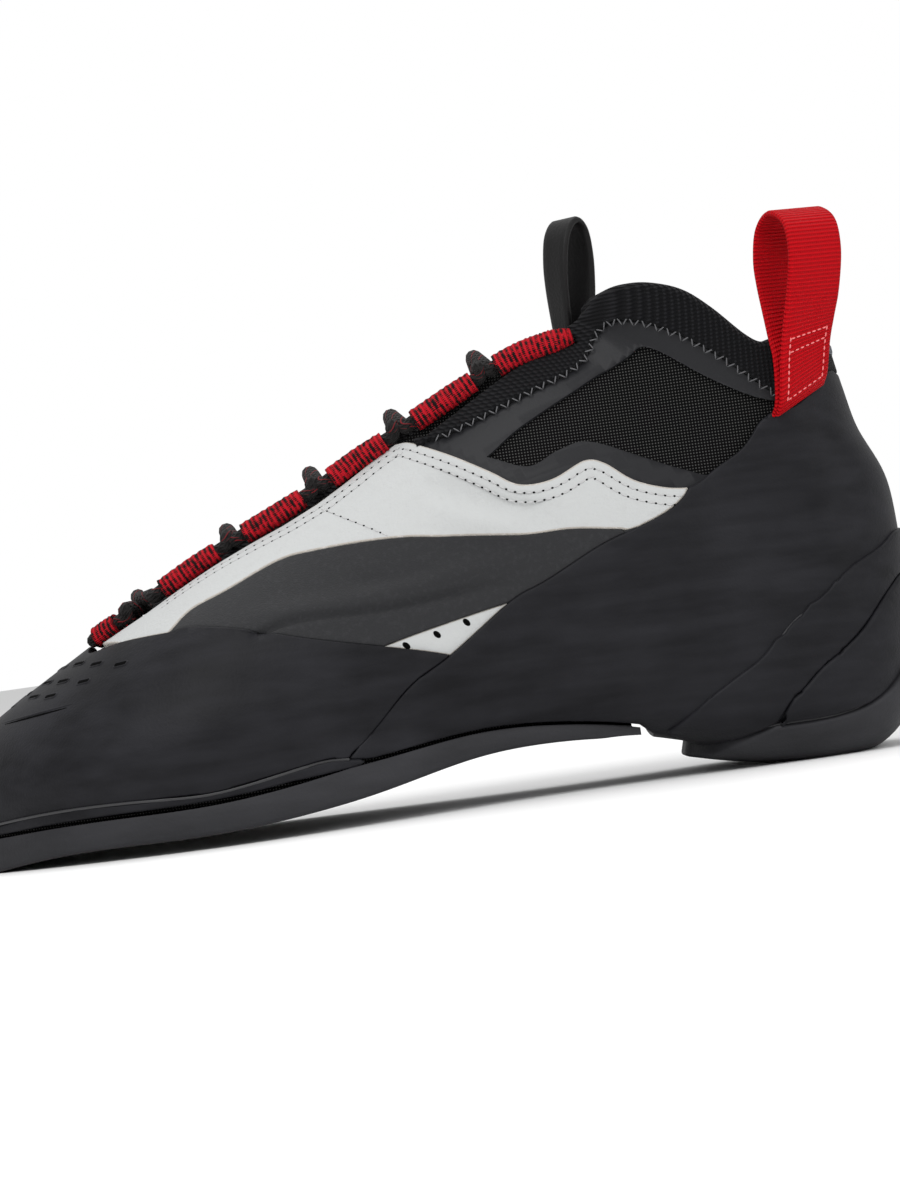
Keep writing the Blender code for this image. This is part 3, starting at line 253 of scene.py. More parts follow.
class Last:
    """The upper's outer surface, by station along the foot and place round the section."""

    def __init__(self, rows: Sequence[tuple], sizes: ShoeSizes) -> None:
        """Turns the section table's shares into curves.

        Args:
            rows: the section table.
            sizes: the shoe's sizes.
        """
        names = ("sole_x", "tip", "arch", "back", "top_x", "over", "spine")
        column = {name: np.array([row[k] for row in rows], float) for k, name in enumerate(names, 1)}
        ball = sizes.ball_width - 2 * sizes.skin
        heel = sizes.heel_width - 2 * sizes.skin
        girth = np.array([ball if row[8] == "ball" else heel for row in rows])
        outer, inner, mid, tuck, low, box, high = (
            np.array([row[k] for row in rows], float) for k in range(9, 16))
        run = sizes.length - 2 * sizes.skin
        toe = sizes.heel_back - sizes.skin - run
        tip = sizes.bed + column["tip"] * sizes.tip_rise
        sole_x = toe + column["sole_x"] * run
        top_x = toe + column["top_x"] * run
        sole_z = (tip + column["arch"] * sizes.arch_rise
                  + column["back"] * (sizes.heel_height - sizes.bed))
        top_z = tip + column["over"] * (sizes.collar_height - sizes.bed)
        spine = column["spine"] * ball
        self.sole_x, self.top_x = Curve(sole_x, top_x), Curve(top_x, sole_x)
        self.sole_z, self.top_z = Curve(sole_z, top_z), Curve(top_z, sole_z)
        self.spine = Curve(spine, spine)
        self.outer = Curve(outer * girth, -outer * girth)
        self.inner = Curve(inner * girth, -inner * girth)
        self.mid, self.tuck, self.low = Curve(mid, mid), Curve(tuck, tuck), Curve(low, low)
        self.box, self.high = Curve(box, box), Curve(high, high)

    def profile(self, station: np.ndarray, place: np.ndarray) -> tuple[np.ndarray, np.ndarray]:
        """Sideways distance from the spine, and height share.

        Args:
            station: where along the foot.
            place: where round the section; negative is the outer side.

        Returns:
            The distances and the height shares.
        """
        place = (np.asarray(place, float) + 1) % 2 - 1
        station = np.asarray(station, float)
        a = np.abs(place)
        width = np.where(place < 0, self.outer(station), self.inner(station))
        mid, low, tuck = self.mid(station), self.low(station), self.tuck(station)
        turn = (1 - np.clip(a / SIDE_TOP, 0, 1)) * QUARTER
        power = 2 / self.high(station)
        y_top = width * np.cos(turn).clip(0) ** power
        h_top = mid + (1 - mid) * np.sin(turn) ** power
        q = np.clip((a - SIDE_TOP) / (SIDE_LOW - SIDE_TOP), 0, 1)
        y_side = width * (1 - tuck * q * q * (3 - 2 * q))
        h_side = mid * (1 - q * (1 - low))
        turn = np.clip((a - SIDE_LOW) / (1 - SIDE_LOW), 0, 1) * QUARTER
        power = 2 / self.box(station)
        y_low = width * (1 - tuck) * np.cos(turn).clip(0) ** power
        h_low = mid * low * (1 - np.sin(turn) ** power)
        y = np.where(a < SIDE_TOP, y_top, np.where(a < SIDE_LOW, y_side, y_low))
        h = np.where(a < SIDE_TOP, h_top, np.where(a < SIDE_LOW, h_side, h_low))
        return np.where(place < 0, -y, y), h

    def point(self, station: np.ndarray, place: np.ndarray) -> np.ndarray:
        """Points of the surface."""
        y, h = self.profile(station, place)
        x = self.sole_x(station) * (1 - h) + self.top_x(station) * h
        z = self.sole_z(station) * (1 - h) + self.top_z(station) * h
        return np.stack([x, self.spine(station) + y, z], -1)

    def normal(self, station: np.ndarray, place: np.ndarray) -> np.ndarray:
        """Outward normals of the surface."""
        station = np.maximum(np.asarray(station, float), 0.06)
        place = np.asarray(place, float)
        step = 0.02
        along = self.point(station + step, place) - self.point(station - step, place)
        around = self.point(station, place + step) - self.point(station, place - step)
        n = np.cross(along, around)
        return n / np.linalg.norm(n, axis=-1, keepdims=True)

    def lift(self, station: np.ndarray, place: np.ndarray, height: np.ndarray) -> np.ndarray:
        """Points at a height above the surface."""
        away = self.normal(station, place) * np.asarray(height, float)[..., None]
        return self.point(station, place) + away

    def place_at_height(self, station: float, height: float) -> float:
        """The place round the section at a height share, without its sign."""
        mid, low = float(self.mid(station)), float(self.low(station))
        if height >= mid:
            share = min(1.0, (height - mid) / (1 - mid)) ** (float(self.high(station)) / 2)
            return SIDE_TOP * (1 - math.asin(share) / QUARTER)
        if height >= mid * low:
            return SIDE_TOP + (SIDE_LOW - SIDE_TOP) * (1 - height / mid) / (1 - low)
        share = min(1.0, 1 - max(height, 0) / (mid * low)) ** (float(self.box(station)) / 2)
        return SIDE_LOW + (1 - SIDE_LOW) * math.asin(share) / QUARTER

    def place_at_width(self, station: float, width: float, side: int) -> float:
        """The place above the widest line that lies at a distance from the ridge."""
        girth = float((self.outer if side < 0 else self.inner)(station))
        share = min(1.0, max(0.0, width / girth)) ** (float(self.high(station)) / 2)
        return side * SIDE_TOP * (1 - math.acos(share) / QUARTER)

    def spot(self, x: float, z: float, side: int) -> Spot:
        """The station and place on one side that lie at a point seen from that side.

        Args:
            x: position along the shoe.
            z: height over the floor.
            side: -1 for the outer side, 1 for the inner.

        Returns:
            The station and the signed place.
        """
        s, p = np.meshgrid(np.linspace(0.3, 22.5, 223), np.linspace(0.02, 0.9, 89), indexing="ij")
        seen = self.point(s, side * p)
        away = (seen[..., 0] - x) ** 2 + (seen[..., 2] - z) ** 2
        k = np.unravel_index(np.argmin(away), away.shape)
        guess = np.array([s[k], p[k]])
        for _ in range(6):
            here = self.point(guess[0], side * guess[1])[[0, 2]]
            ds = (self.point(guess[0] + 0.01, side * guess[1])[[0, 2]] - here) / 0.01
            dp = (self.point(guess[0], side * (guess[1] + 0.01))[[0, 2]] - here) / 0.01
            step = np.linalg.lstsq(np.stack([ds, dp], 1), np.array([x, z]) - here, rcond=None)[0]
            guess = guess + np.clip(step, -0.2, 0.2)
        return float(guess[0]), side * float(guess[1])


LAST = Last(SECTIONS, SIZES)


def unit(vector: np.ndarray) -> np.ndarray:
    """A vector's direction, at length one."""
    return vector / np.linalg.norm(vector)


def smooth(outline: Sequence[Sequence[float]], steps: int) -> list[np.ndarray]:
    """A soft line through points, with a few points between each pair.

    Args:
        outline: the points, with any number of coordinates.
        steps: how many points for each stretch.

    Returns:
        The line's points.
    """
    points = [np.array(p, float) for p in outline]
    ends = [2 * points[0] - points[1]] + points + [2 * points[-1] - points[-2]]
    line = []
    for a, b, c, d in zip(ends, ends[1:], ends[2:], ends[3:]):
        for k in range(steps):
            f = k / steps
            line.append(0.5 * (2 * b + (c - a) * f + (2 * a - 5 * b + 4 * c - d) * f * f
                               + (3 * b - a - 3 * c + d) * f ** 3))
    return line + [points[-1]]


def side_line(outline: Sequence[Spot], side: int, steps: int = 8) -> Line:
    """An outline's (station, height) pairs as a soft line of (station, place) pairs."""
    line = smooth(outline, steps) if len(outline) > 2 else [np.array(p) for p in outline]
    return [(float(s), side * LAST.place_at_height(float(s), float(h))) for s, h in line]


def stretch(outline: Sequence[Spot], side: int, first: int, last: int) -> Line:
    """The part of an outline's line between two of its own points, given by their numbers."""
    line = side_line(outline, side)
    ends = [(outline[n][0], side * LAST.place_at_height(*outline[n])) for n in (first, last)]
    a, b = (min(range(len(line)), key=lambda k: math.dist(line[k], end)) for end in ends)
    return line[a:b + 1] if a < b else line[b:a + 1][::-1]


def unwrapped(line: Line) -> Line:
    """The same places counted on through the sole's middle, 1, to the outer side, 2."""
    return [(s, p if p > 0 else p + 2) for s, p in line]


def past_sole(line: Line) -> Line:
    """A line's mirror image in the sole's middle, run the other way."""
    return [(s, 2 - p) for s, p in reversed(line)]


def across_ridge(half: Line) -> Line:
    """A closed outline over the ridge from its inner half, whose places run from 1 to 0."""
    return half + [(s, -p) for s, p in reversed(half) if p != 0.0]


def throat_half(station: float) -> float:
    """Half the throat's width at a station."""
    return SIZES.throat_width / 2 * float(np.interp(station, *zip(*THROAT)))


def throat_edge(stations: Iterable[float], side: int, beyond: float = 0.0) -> Line:
    """The throat's edge on one side, or a line a distance outside it."""
    return [(float(s), LAST.place_at_width(s, throat_half(s) + beyond, side)) for s in stations]


def low_place(station: float) -> float:
    """The place where the outsole's edge meets the rubber above it."""
    return float(np.interp(station, (RAND_BACK, OUTSOLE_BACK), LIP_PLACES))


@dataclass(frozen=True)
class Fold:
    """A soft trough, or a ridge where depth is negative, along a line of (station, height) pairs.

    Its depth and width are in millimetres.
    """

    points: tuple[Spot, ...]
    depth: float
    width: float

    def drop(self, x: np.ndarray, z: np.ndarray) -> np.ndarray:
        """How far the surface sinks at points seen from the side.

        Args:
            x: positions along the shoe.
            z: heights.

        Returns:
            The depths, which fade to nothing at the fold's two ends.
        """
        spots = np.array(side_line(self.points, -1, 6))
        line = LAST.point(spots[:, 0], spots[:, 1])[:, [0, 2]]
        best = np.full(x.shape, 1.0)
        share = np.zeros(x.shape)
        run = np.concatenate([[0], np.cumsum(np.linalg.norm(np.diff(line, axis=0), axis=1))])
        for k in range(len(line) - 1):
            a, b = line[k], line[k + 1]
            way = b - a
            size = float(way @ way) + 1e-12
            f = np.clip(((x - a[0]) * way[0] + (z - a[1]) * way[1]) / size, 0, 1)
            away = np.hypot(x - a[0] - f * way[0], z - a[1] - f * way[1])
            near = away < best
            best = np.where(near, away, best)
            share = np.where(near, (run[k] + f * (run[k + 1] - run[k])) / run[-1], share)
        fade = np.clip(np.minimum(share, 1 - share) * 5, 0, 1)
        return self.depth * MM * fade * np.exp(-(best / (self.width * MM)) ** 2)


@dataclass(frozen=True)
class Finish:
    """A material: its base colour (linear), gloss and a surface pattern made by dress()."""

    name: str
    slot: str
    colour: Colour
    roughness: float = 0.6
    sheen: float = 0.0
    specular: float = 0.4
    grain: float = 0.0
    grain_scale: float = 900.0
    speckle: float = 0.0
    speckle_colour: Colour = (0.5, 0.5, 0.5)

    def nodes(self) -> "Tree":
        """A fresh material's node tree with the plain finish set on its shader."""
        tree = Tree(self.name)
        shader = tree.shader
        shader.inputs["Base Color"].default_value = (*self.colour, 1.0)
        shader.inputs["Roughness"].default_value = self.roughness
        shader.inputs["Specular IOR Level"].default_value = self.specular
        shader.inputs["Sheen Weight"].default_value = self.sheen
        shader.inputs["Sheen Roughness"].default_value = 0.5
        return tree

    def build(self) -> bpy.types.Material:
        """Makes the material once.

        Returns:
            The material, from an earlier call if there was one.
        """
        found = bpy.data.materials.get(self.name)
        if found:
            return found
        tree = self.nodes()
        self.dress(tree)
        return tree.material

    def dress(self, tree: "Tree") -> None:
        """Adds fine grain and light speckle to the plain finish."""
        if self.speckle:
            spots = tree.noise(self.grain_scale * 0.35, 3.0)
            share = tree.ramp(spots, 0.52, 0.72)
            tree.paint(share, self.colour, self.toned(self.speckle))
        if self.grain:
            tree.bump(tree.noise(self.grain_scale, 4.0), self.grain)

    def toned(self, share: float) -> Colour:
        """The base colour moved by a share towards the speckle's colour."""
        return tuple(a + (b - a) * share for a, b in zip(self.colour, self.speckle_colour))


class Tree:
    """Small helper round a material's nodes."""

    def __init__(self, name: str) -> None:
        """Makes the material and finds its shader.

        Args:
            name: the material's name.
        """
        self.material = bpy.data.materials.new(name)
        self.material.use_nodes = True
        self.all = self.material.node_tree.nodes
        self.shader = self.all["Principled BSDF"]

    def join(self, source: bpy.types.NodeSocket, target: bpy.types.NodeSocket) -> None:
        """Links two sockets."""
        self.material.node_tree.links.new(source, target)

    def place(self) -> bpy.types.NodeSocket:
        """Object coordinates."""
        return self.all.new("ShaderNodeTexCoord").outputs["Object"]

    def flat(self) -> bpy.types.NodeSocket:
        """The piece's own UV map."""
        node = self.all.new("ShaderNodeUVMap")
        node.uv_map = "UVMap"
        return node.outputs["UV"]

    def parts(self, source: bpy.types.NodeSocket) -> list[bpy.types.NodeSocket]:
        """A vector's three numbers."""
        node = self.all.new("ShaderNodeSeparateXYZ")
        self.join(source, node.inputs[0])
        return list(node.outputs)

    def math(self, kind: str, *values: object) -> bpy.types.NodeSocket:
        """A Math node over sockets and numbers.

        Args:
            kind: the operation.
            values: sockets or numbers.

        Returns:
            The result's socket.
        """
        node = self.all.new("ShaderNodeMath")
        node.operation = kind
        for k, value in enumerate(values):
            if isinstance(value, bpy.types.NodeSocket):
                self.join(value, node.inputs[k])
            else:
                node.inputs[k].default_value = value
        return node.outputs[0]

    def sine(self, source: bpy.types.NodeSocket, scale: float) -> bpy.types.NodeSocket:
        """A sine wave over a number, at so many radians a unit."""
        return self.math("SINE", self.math("MULTIPLY", source, scale))

    def noise(self, scale: float, detail: float,
              stretch_by: tuple[float, ...] = (1.0, 1.0, 1.0)) -> bpy.types.NodeSocket:
        """Noise over Object coordinates.

        Args:
            scale: its scale in 1/m.
            detail: its detail.
            stretch_by: further scale along each axis.

        Returns:
            The noise's value.
        """
        node = self.all.new("ShaderNodeTexNoise")
        node.inputs["Scale"].default_value = scale
        node.inputs["Detail"].default_value = detail
        mapping = self.all.new("ShaderNodeMapping")
        mapping.inputs["Scale"].default_value = stretch_by
        self.join(self.place(), mapping.inputs["Vector"])
        self.join(mapping.outputs[0], node.inputs["Vector"])
        return node.outputs["Fac"]

    def ramp(self, source: bpy.types.NodeSocket, low: float, high: float) -> bpy.types.NodeSocket:
        """Maps low..high to 0..1, clamped."""
        node = self.all.new("ShaderNodeMapRange")
        node.inputs["From Min"].default_value = low
        node.inputs["From Max"].default_value = high
        self.join(source, node.inputs["Value"])
        return node.outputs[0]

    def mix(self, share: bpy.types.NodeSocket, first: object, second: object) -> bpy.types.NodeSocket:
        """Mixes two colours, each a socket or three numbers."""
        node = self.all.new("ShaderNodeMix")
        node.data_type = "RGBA"
        self.join(share, node.inputs["Factor"])
        for socket, value in ((node.inputs["A"], first), (node.inputs["B"], second)):
            target = [s for s in node.inputs if s.name == socket.name and s.type == "RGBA"][0]
            if isinstance(value, bpy.types.NodeSocket):
                self.join(value, target)
            else:
                target.default_value = (*value, 1.0)
        return [s for s in node.outputs if s.type == "RGBA"][0]

    def paint(self, share: bpy.types.NodeSocket, first: object, second: object) -> None:
        """Mixes two colours into the shader's base colour."""
        self.join(self.mix(share, first, second), self.shader.inputs["Base Color"])

    def bump(self, height: bpy.types.NodeSocket, strength: float, distance: float = 0.0004) -> None:
        """Adds relief to the shader's normal.

        Args:
            height: the relief.
            strength: the bump's strength.
            distance: the relief's depth in metres.
        """
        node = self.all.new("ShaderNodeBump")
        node.inputs["Strength"].default_value = strength
        node.inputs["Distance"].default_value = distance
        self.join(height, node.inputs["Height"])
        normal = self.shader.inputs["Normal"]
        if normal.is_linked:
            self.join(normal.links[0].from_socket, node.inputs["Normal"])
        self.join(node.outputs[0], normal)


@dataclass(frozen=True)
class Rubber(Finish):
    """Matt rubber with faint brushed streaks."""

    streak: float = 0.35

    def dress(self, tree: Tree) -> None:
        """Adds the streaks, soft cloudiness and a fine grain."""
        streaks = tree.noise(160.0, 6.0, (0.25, 1.0, 1.6))
        clouds = tree.noise(38.0, 4.0)
        share = tree.math("MULTIPLY", tree.math("ADD", streaks, clouds), 0.5)
        light = tuple(c * (1 + 2.2 * self.streak) + 0.006 * self.streak for c in self.colour)
        tree.paint(tree.ramp(share, 0.36, 0.66), self.colour, light)
        rough = tree.math("MULTIPLY_ADD", streaks, 0.16, self.roughness - 0.08)
        tree.join(rough, tree.shader.inputs["Roughness"])
        tree.bump(tree.noise(self.grain_scale, 5.0), self.grain, 0.0003)
        tree.bump(clouds, 0.25, 0.0012)


@dataclass(frozen=True)
class Weave(Finish):
    """Cloth or tape woven along the piece's own UV map, which is in millimetres."""

    rib: float = 1.2
    yarn: float = 0.7
    depth: float = 0.5
    second: Optional[Colour] = None
    block: float = 2.4

    def dress(self, tree: Tree) -> None:
        """Adds ribs along and yarns across, and blocks of a second colour; without a second colour, painted
        shade darkens the troughs between the ribs.
        """
        along, across, _ = tree.parts(tree.flat())
        ribs = tree.sine(along, FULL_TURN / self.rib)
        yarns = tree.sine(across, FULL_TURN / self.yarn)
        height = tree.math("ADD", tree.math("MULTIPLY", ribs, 0.8), tree.math("MULTIPLY", yarns, 0.2))
        if self.second:
            blocks = tree.sine(along, FULL_TURN / self.block)
            fuzz = tree.math("MULTIPLY_ADD", tree.noise(620.0, 3.0), 7.0, -3.5)
            dark = tree.math("ADD", tree.math("ADD", blocks, tree.math("MULTIPLY", yarns, 0.8)), fuzz)
            tree.paint(tree.ramp(dark, -0.15, 0.35), self.colour, self.second)
        else:
            # Painted shade: the colour darkens where the rib relief is low, in the troughs where shade falls.
            dark = tuple(c * 0.62 for c in self.colour)
            tree.paint(tree.ramp(height, -0.9, 0.3), dark, self.colour)
        tree.bump(height, self.depth, 0.0005)


@dataclass(frozen=True)
class DotMesh(Finish):
    """Dark warp-knit mesh with a lattice of small light knots."""

    pitch: float = 1.06

    def dress(self, tree: Tree) -> None:
        """Adds the lattice, read sideways on."""
        x, _, z = tree.parts(tree.place())
        scale = FULL_TURN / (self.pitch * MM) * 0.72
        u, v = (tree.sine(tree.math(kind, x, z), scale) for kind in ("ADD", "SUBTRACT"))
        knots = tree.math("MULTIPLY", u, v)
        tree.paint(tree.ramp(knots, 0.35, 0.8), self.colour, self.toned(self.speckle))
        tree.bump(knots, 0.5, 0.0004)


@dataclass(frozen=True)
class Knit(Finish):
    """Fine ribbed knit, read off the shoe's own axes."""

    rib: float = 1.3

    def dress(self, tree: Tree) -> None:
        """Adds rows of loops, with painted highlight on their crests and painted shade between them."""
        x, y, z = tree.parts(tree.place())
        scale = FULL_TURN / (self.rib * MM)
        u = tree.sine(tree.math("ADD", x, y), scale)
        v = tree.sine(z, scale * 1.4)
        loops = tree.math("ADD", u, tree.math("MULTIPLY", v, 0.6))
        # Painted highlight and shade: the colour lightens on the loops' raised crests and stays dark between
        # them.
        light = tuple(c * 2.4 + 0.004 for c in self.colour)
        tree.paint(tree.ramp(loops, 0.2, 1.4), self.colour, light)
        tree.bump(loops, 0.55, 0.0005)


@dataclass(frozen=True)
class Braid(Finish):
    """Round braided lace with flecks, along the piece's own UV map in millimetres."""

    fleck: Colour = (0.25, 0.01, 0.02)
    turn_pitch: float = 1.49
    run_pitch: float = 1.8
    fleck_pitch: float = 5.4

    def dress(self, tree: Tree) -> None:
        """Adds the two turning strands and the flecks."""
        along, around, _ = tree.parts(tree.flat())
        turn = tree.math("MULTIPLY", around, FULL_TURN / self.turn_pitch)
        run = tree.math("MULTIPLY", along, FULL_TURN / self.run_pitch)
        u, v = (tree.math("SINE", tree.math(kind, run, turn)) for kind in ("ADD", "SUBTRACT"))
        height = tree.math("MAXIMUM", u, v)
        slow = tree.sine(tree.math("ADD", along, around), FULL_TURN / self.fleck_pitch)
        share = tree.math("MULTIPLY", tree.ramp(u, 0.55, 0.85), tree.ramp(slow, 0.45, 0.8))
        tree.paint(share, self.colour, self.fleck)
        tree.bump(height, 0.7, 0.0005)


RUBBER = Rubber("wrap rubber", "rubber", (0.0058, 0.0058, 0.0072), 0.5, specular=0.13, streak=0.6, grain=0.35,
                grain_scale=1500.0)
SOLE_RUBBER = Rubber("sole rubber", "sole_rubber", (0.019, 0.019, 0.0215), 0.55, specular=0.2, grain=0.4,
                     grain_scale=1200.0, streak=0.25)
PALE = Finish("pale leather", "pale_leather", (0.475, 0.485, 0.483), 0.8, sheen=0.05, specular=0.15,
              grain=0.3, grain_scale=1300.0, speckle=0.18, speckle_colour=(0.40, 0.40, 0.40))
CUT_EDGE = Finish("leather cut edge", "pale_leather", (0.42, 0.39, 0.35), 0.95, sheen=0.3, grain=0.8,
                  grain_scale=2600.0, speckle=0.6, speckle_colour=(0.62, 0.60, 0.57))
MICROFIBRE = Finish("dark microfibre", "microfibre", (0.0195, 0.0198, 0.0215), 0.75, sheen=0.1, specular=0.2,
                    grain=0.5, grain_scale=2600.0, speckle=0.16, speckle_colour=(0.06, 0.06, 0.065))
SMOOTH = Finish("smooth overlay", "film", (0.0120, 0.0122, 0.0140), 0.5, specular=0.22, grain=0.15,
                grain_scale=1800.0)
MESH_CLOTH = DotMesh("window mesh", "shell_fabric", (0.0028, 0.0028, 0.0030), 0.85, specular=0.05,
                     speckle=1.0, speckle_colour=(0.075, 0.075, 0.072))
LINING = Knit("lining", "shell_fabric", (0.020, 0.020, 0.022), 0.92, specular=0.15, sheen=0.1, rib=1.6)
KNITTED = Knit("collar knit", "knit", (0.0035, 0.0035, 0.0042), 0.95, specular=0.12, sheen=0.04)
PAD = Knit("grey padding", "knit", (0.055, 0.060, 0.072), 0.9, specular=0.2, sheen=0.2, rib=1.0)
FOAM = Finish("insole foam", "foam", (0.035, 0.035, 0.038), 0.9, specular=0.2, grain=0.5)
LOOP_TAPE = Weave("red loop webbing", "red_webbing", (0.56, 0.0010, 0.006), 0.65, specular=0.10,
                  rib=0.95, yarn=0.6, depth=0.75)
TUNNEL_TAPE = Weave("red and black tape", "red_webbing", (0.52, 0.008, 0.018), 0.75, specular=0.12,
                    rib=1.25, yarn=0.5, depth=0.8, second=(0.006, 0.005, 0.005), block=1.25)
BLACK_TAPE = Weave("black tape", "knit", (0.0065, 0.0065, 0.0075), 0.7, specular=0.2, sheen=0.04, rib=1.0,
                   yarn=0.8, depth=0.4)
STRAP = Finish("black strap", "knit", (0.0042, 0.0039, 0.0041), 0.5, sheen=0.03, specular=0.2, grain=0.3,
               grain_scale=1500.0)
LACING = Braid("black lace", "lace", (0.0055, 0.0045, 0.0045), 0.7, specular=0.2, sheen=0.04,
               fleck=(0.16, 0.006, 0.010))
THREAD_PALE = Finish("pale thread", "pale_leather", (0.47, 0.47, 0.47), 0.6)
THREAD_GREY = Finish("grey thread", "knit", (0.085, 0.085, 0.09), 0.55)
THREAD_PINK = Finish("pink thread", "red_webbing", (0.80, 0.20, 0.20), 0.6)
# Painted highlight: a lighter, glossier bead laid along the raised rubber edges.
EDGE_HIGHLIGHT = Finish("painted edge highlight", "rubber", (0.030, 0.030, 0.032), 0.35)
SHADE = Finish("dark hole", "rubber", (0.0015, 0.0015, 0.0015), 0.95, specular=0.05)


def added(name: str, bm: bmesh.types.BMesh, finishes: Sequence[Finish], nodes: Sequence[str] = (),
          sharp: float = 180.0) -> bpy.types.Object:
    """Turns a bmesh into a finished piece that rides on the shoe.

    Args:
        name: the piece's name.
        bm: its mesh, freed here.
        finishes: its materials, by face index.
        nodes: the solids it stands for.
        sharp: edges turning by more than this many degrees are drawn sharp.

    Returns:
        The piece.
    """
    mesh = bpy.data.meshes.new(name)
    bm.to_mesh(mesh)
    bm.free()
    for finish in finishes:
        mesh.materials.append(finish.build())
    mesh.shade_smooth()
    if sharp < 180.0:
        mesh.set_sharp_from_angle(angle=math.radians(sharp))
    piece = bpy.data.objects.new(name, mesh)
    bpy.context.scene.collection.objects.link(piece)
    if nodes:
        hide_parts(*nodes)
    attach(piece, "root")
    LOG.info("%s: %d faces", name, len(mesh.polygons))
    return piece


def first_ring(bm: bmesh.types.BMesh, points: Iterable[Sequence[float]]) -> tuple[list, list]:
    """A closed ring through points: its corners and its edges."""
    ring = [bm.verts.new(point) for point in points]
    return ring, [bm.edges.new((ring[k], ring[(k + 1) % len(ring)])) for k in range(len(ring))]


def next_ring(bm: bmesh.types.BMesh, ring: Sequence[bmesh.types.BMVert],
              edges: Sequence[bmesh.types.BMEdge]) -> tuple[list, list, list]:
    """Extrudes a ring by one step.

    Args:
        bm: the mesh.
        ring: the ring's corners, in order.
        edges: the ring's edges.

    Returns:
        The new ring's corners in the same order, its edges and the faces between.
    """
    grown = bmesh.ops.extrude_edge_only(bm, edges=edges)["geom"]
    fresh = {g for g in grown if isinstance(g, bmesh.types.BMVert)}
    following = [next(e.other_vert(v) for e in v.link_edges if e.other_vert(v) in fresh) for v in ring]
    ahead = [g for g in grown if isinstance(g, bmesh.types.BMEdge) and fresh.issuperset(g.verts)]
    return following, ahead, [g for g in grown if isinstance(g, bmesh.types.BMFace)]


def bead(bm: bmesh.types.BMesh, centre: np.ndarray, axes: tuple[np.ndarray, ...], around: int,
         rings: int) -> None:
    """Adds a small ellipsoid.

    Args:
        bm: the mesh to add to.
        centre: its middle.
        axes: its three half axes.
        around: its segments.
        rings: its rings.
    """
    place = Matrix(axes).transposed().to_4x4()
    place.translation = Vector(centre)
    bmesh.ops.create_uvsphere(bm, u_segments=around, v_segments=rings, radius=1.0, matrix=place)


def drawn_in(line: Line, distance: float, pinned: Callable[[Spot], bool]) -> Line:
    """Draws an outline in by a distance on the shoe.

    Args:
        line: the outline's (station, place) pairs.
        distance: how far, in metres.
        pinned: says whether a corner lies on a seam that closes on itself.

    Returns:
        The smaller outline.
    """
    spots = np.array(line, float)
    points = LAST.point(spots[:, 0], spots[:, 1])
    normals = LAST.normal(spots[:, 0], spots[:, 1])
    flat = spots * (1.0, 12.0)
    area = np.sum(np.roll(flat[:, 0], 1) * flat[:, 1] - flat[:, 0] * np.roll(flat[:, 1], 1))
    turn = 1.0 if area > 0 else -1.0
    moved = []
    count = len(line)
    for k in range(count):
        push = np.zeros(3)
        for a, b in ((k - 1, k), (k, (k + 1) % count)):
            if pinned(line[a]) and pinned(line[b]):
                continue
            edge = points[b] - points[a]
            size = np.linalg.norm(edge)
            if size > 1e-6:
                push += turn * np.cross(normals[k], edge / size)
        size = np.linalg.norm(push)
        if size < 1e-6:
            moved.append(line[k])
            continue
        push *= distance * min(2.0, 2.0 / size) / size
        s, p = line[k]
        near = max(s, 0.1)
        along = (LAST.point(near + ALONG_STEP, p) - LAST.point(near, p)) / ALONG_STEP
        around = (LAST.point(near, p + AROUND_STEP) - LAST.point(near, p - AROUND_STEP)) / (2 * AROUND_STEP)
        shift = np.linalg.lstsq(np.stack([along, around], 1), push, rcond=None)[0]
        shift = np.clip(shift, (-0.5, -0.06), (0.5, 0.06))
        if pinned(line[k]):
            shift = np.array([math.copysign(distance / np.linalg.norm(along), shift[0]), 0.0])
        moved.append((s if s == 0 else max(0.02, s + shift[0]), p + shift[1]))
    return moved


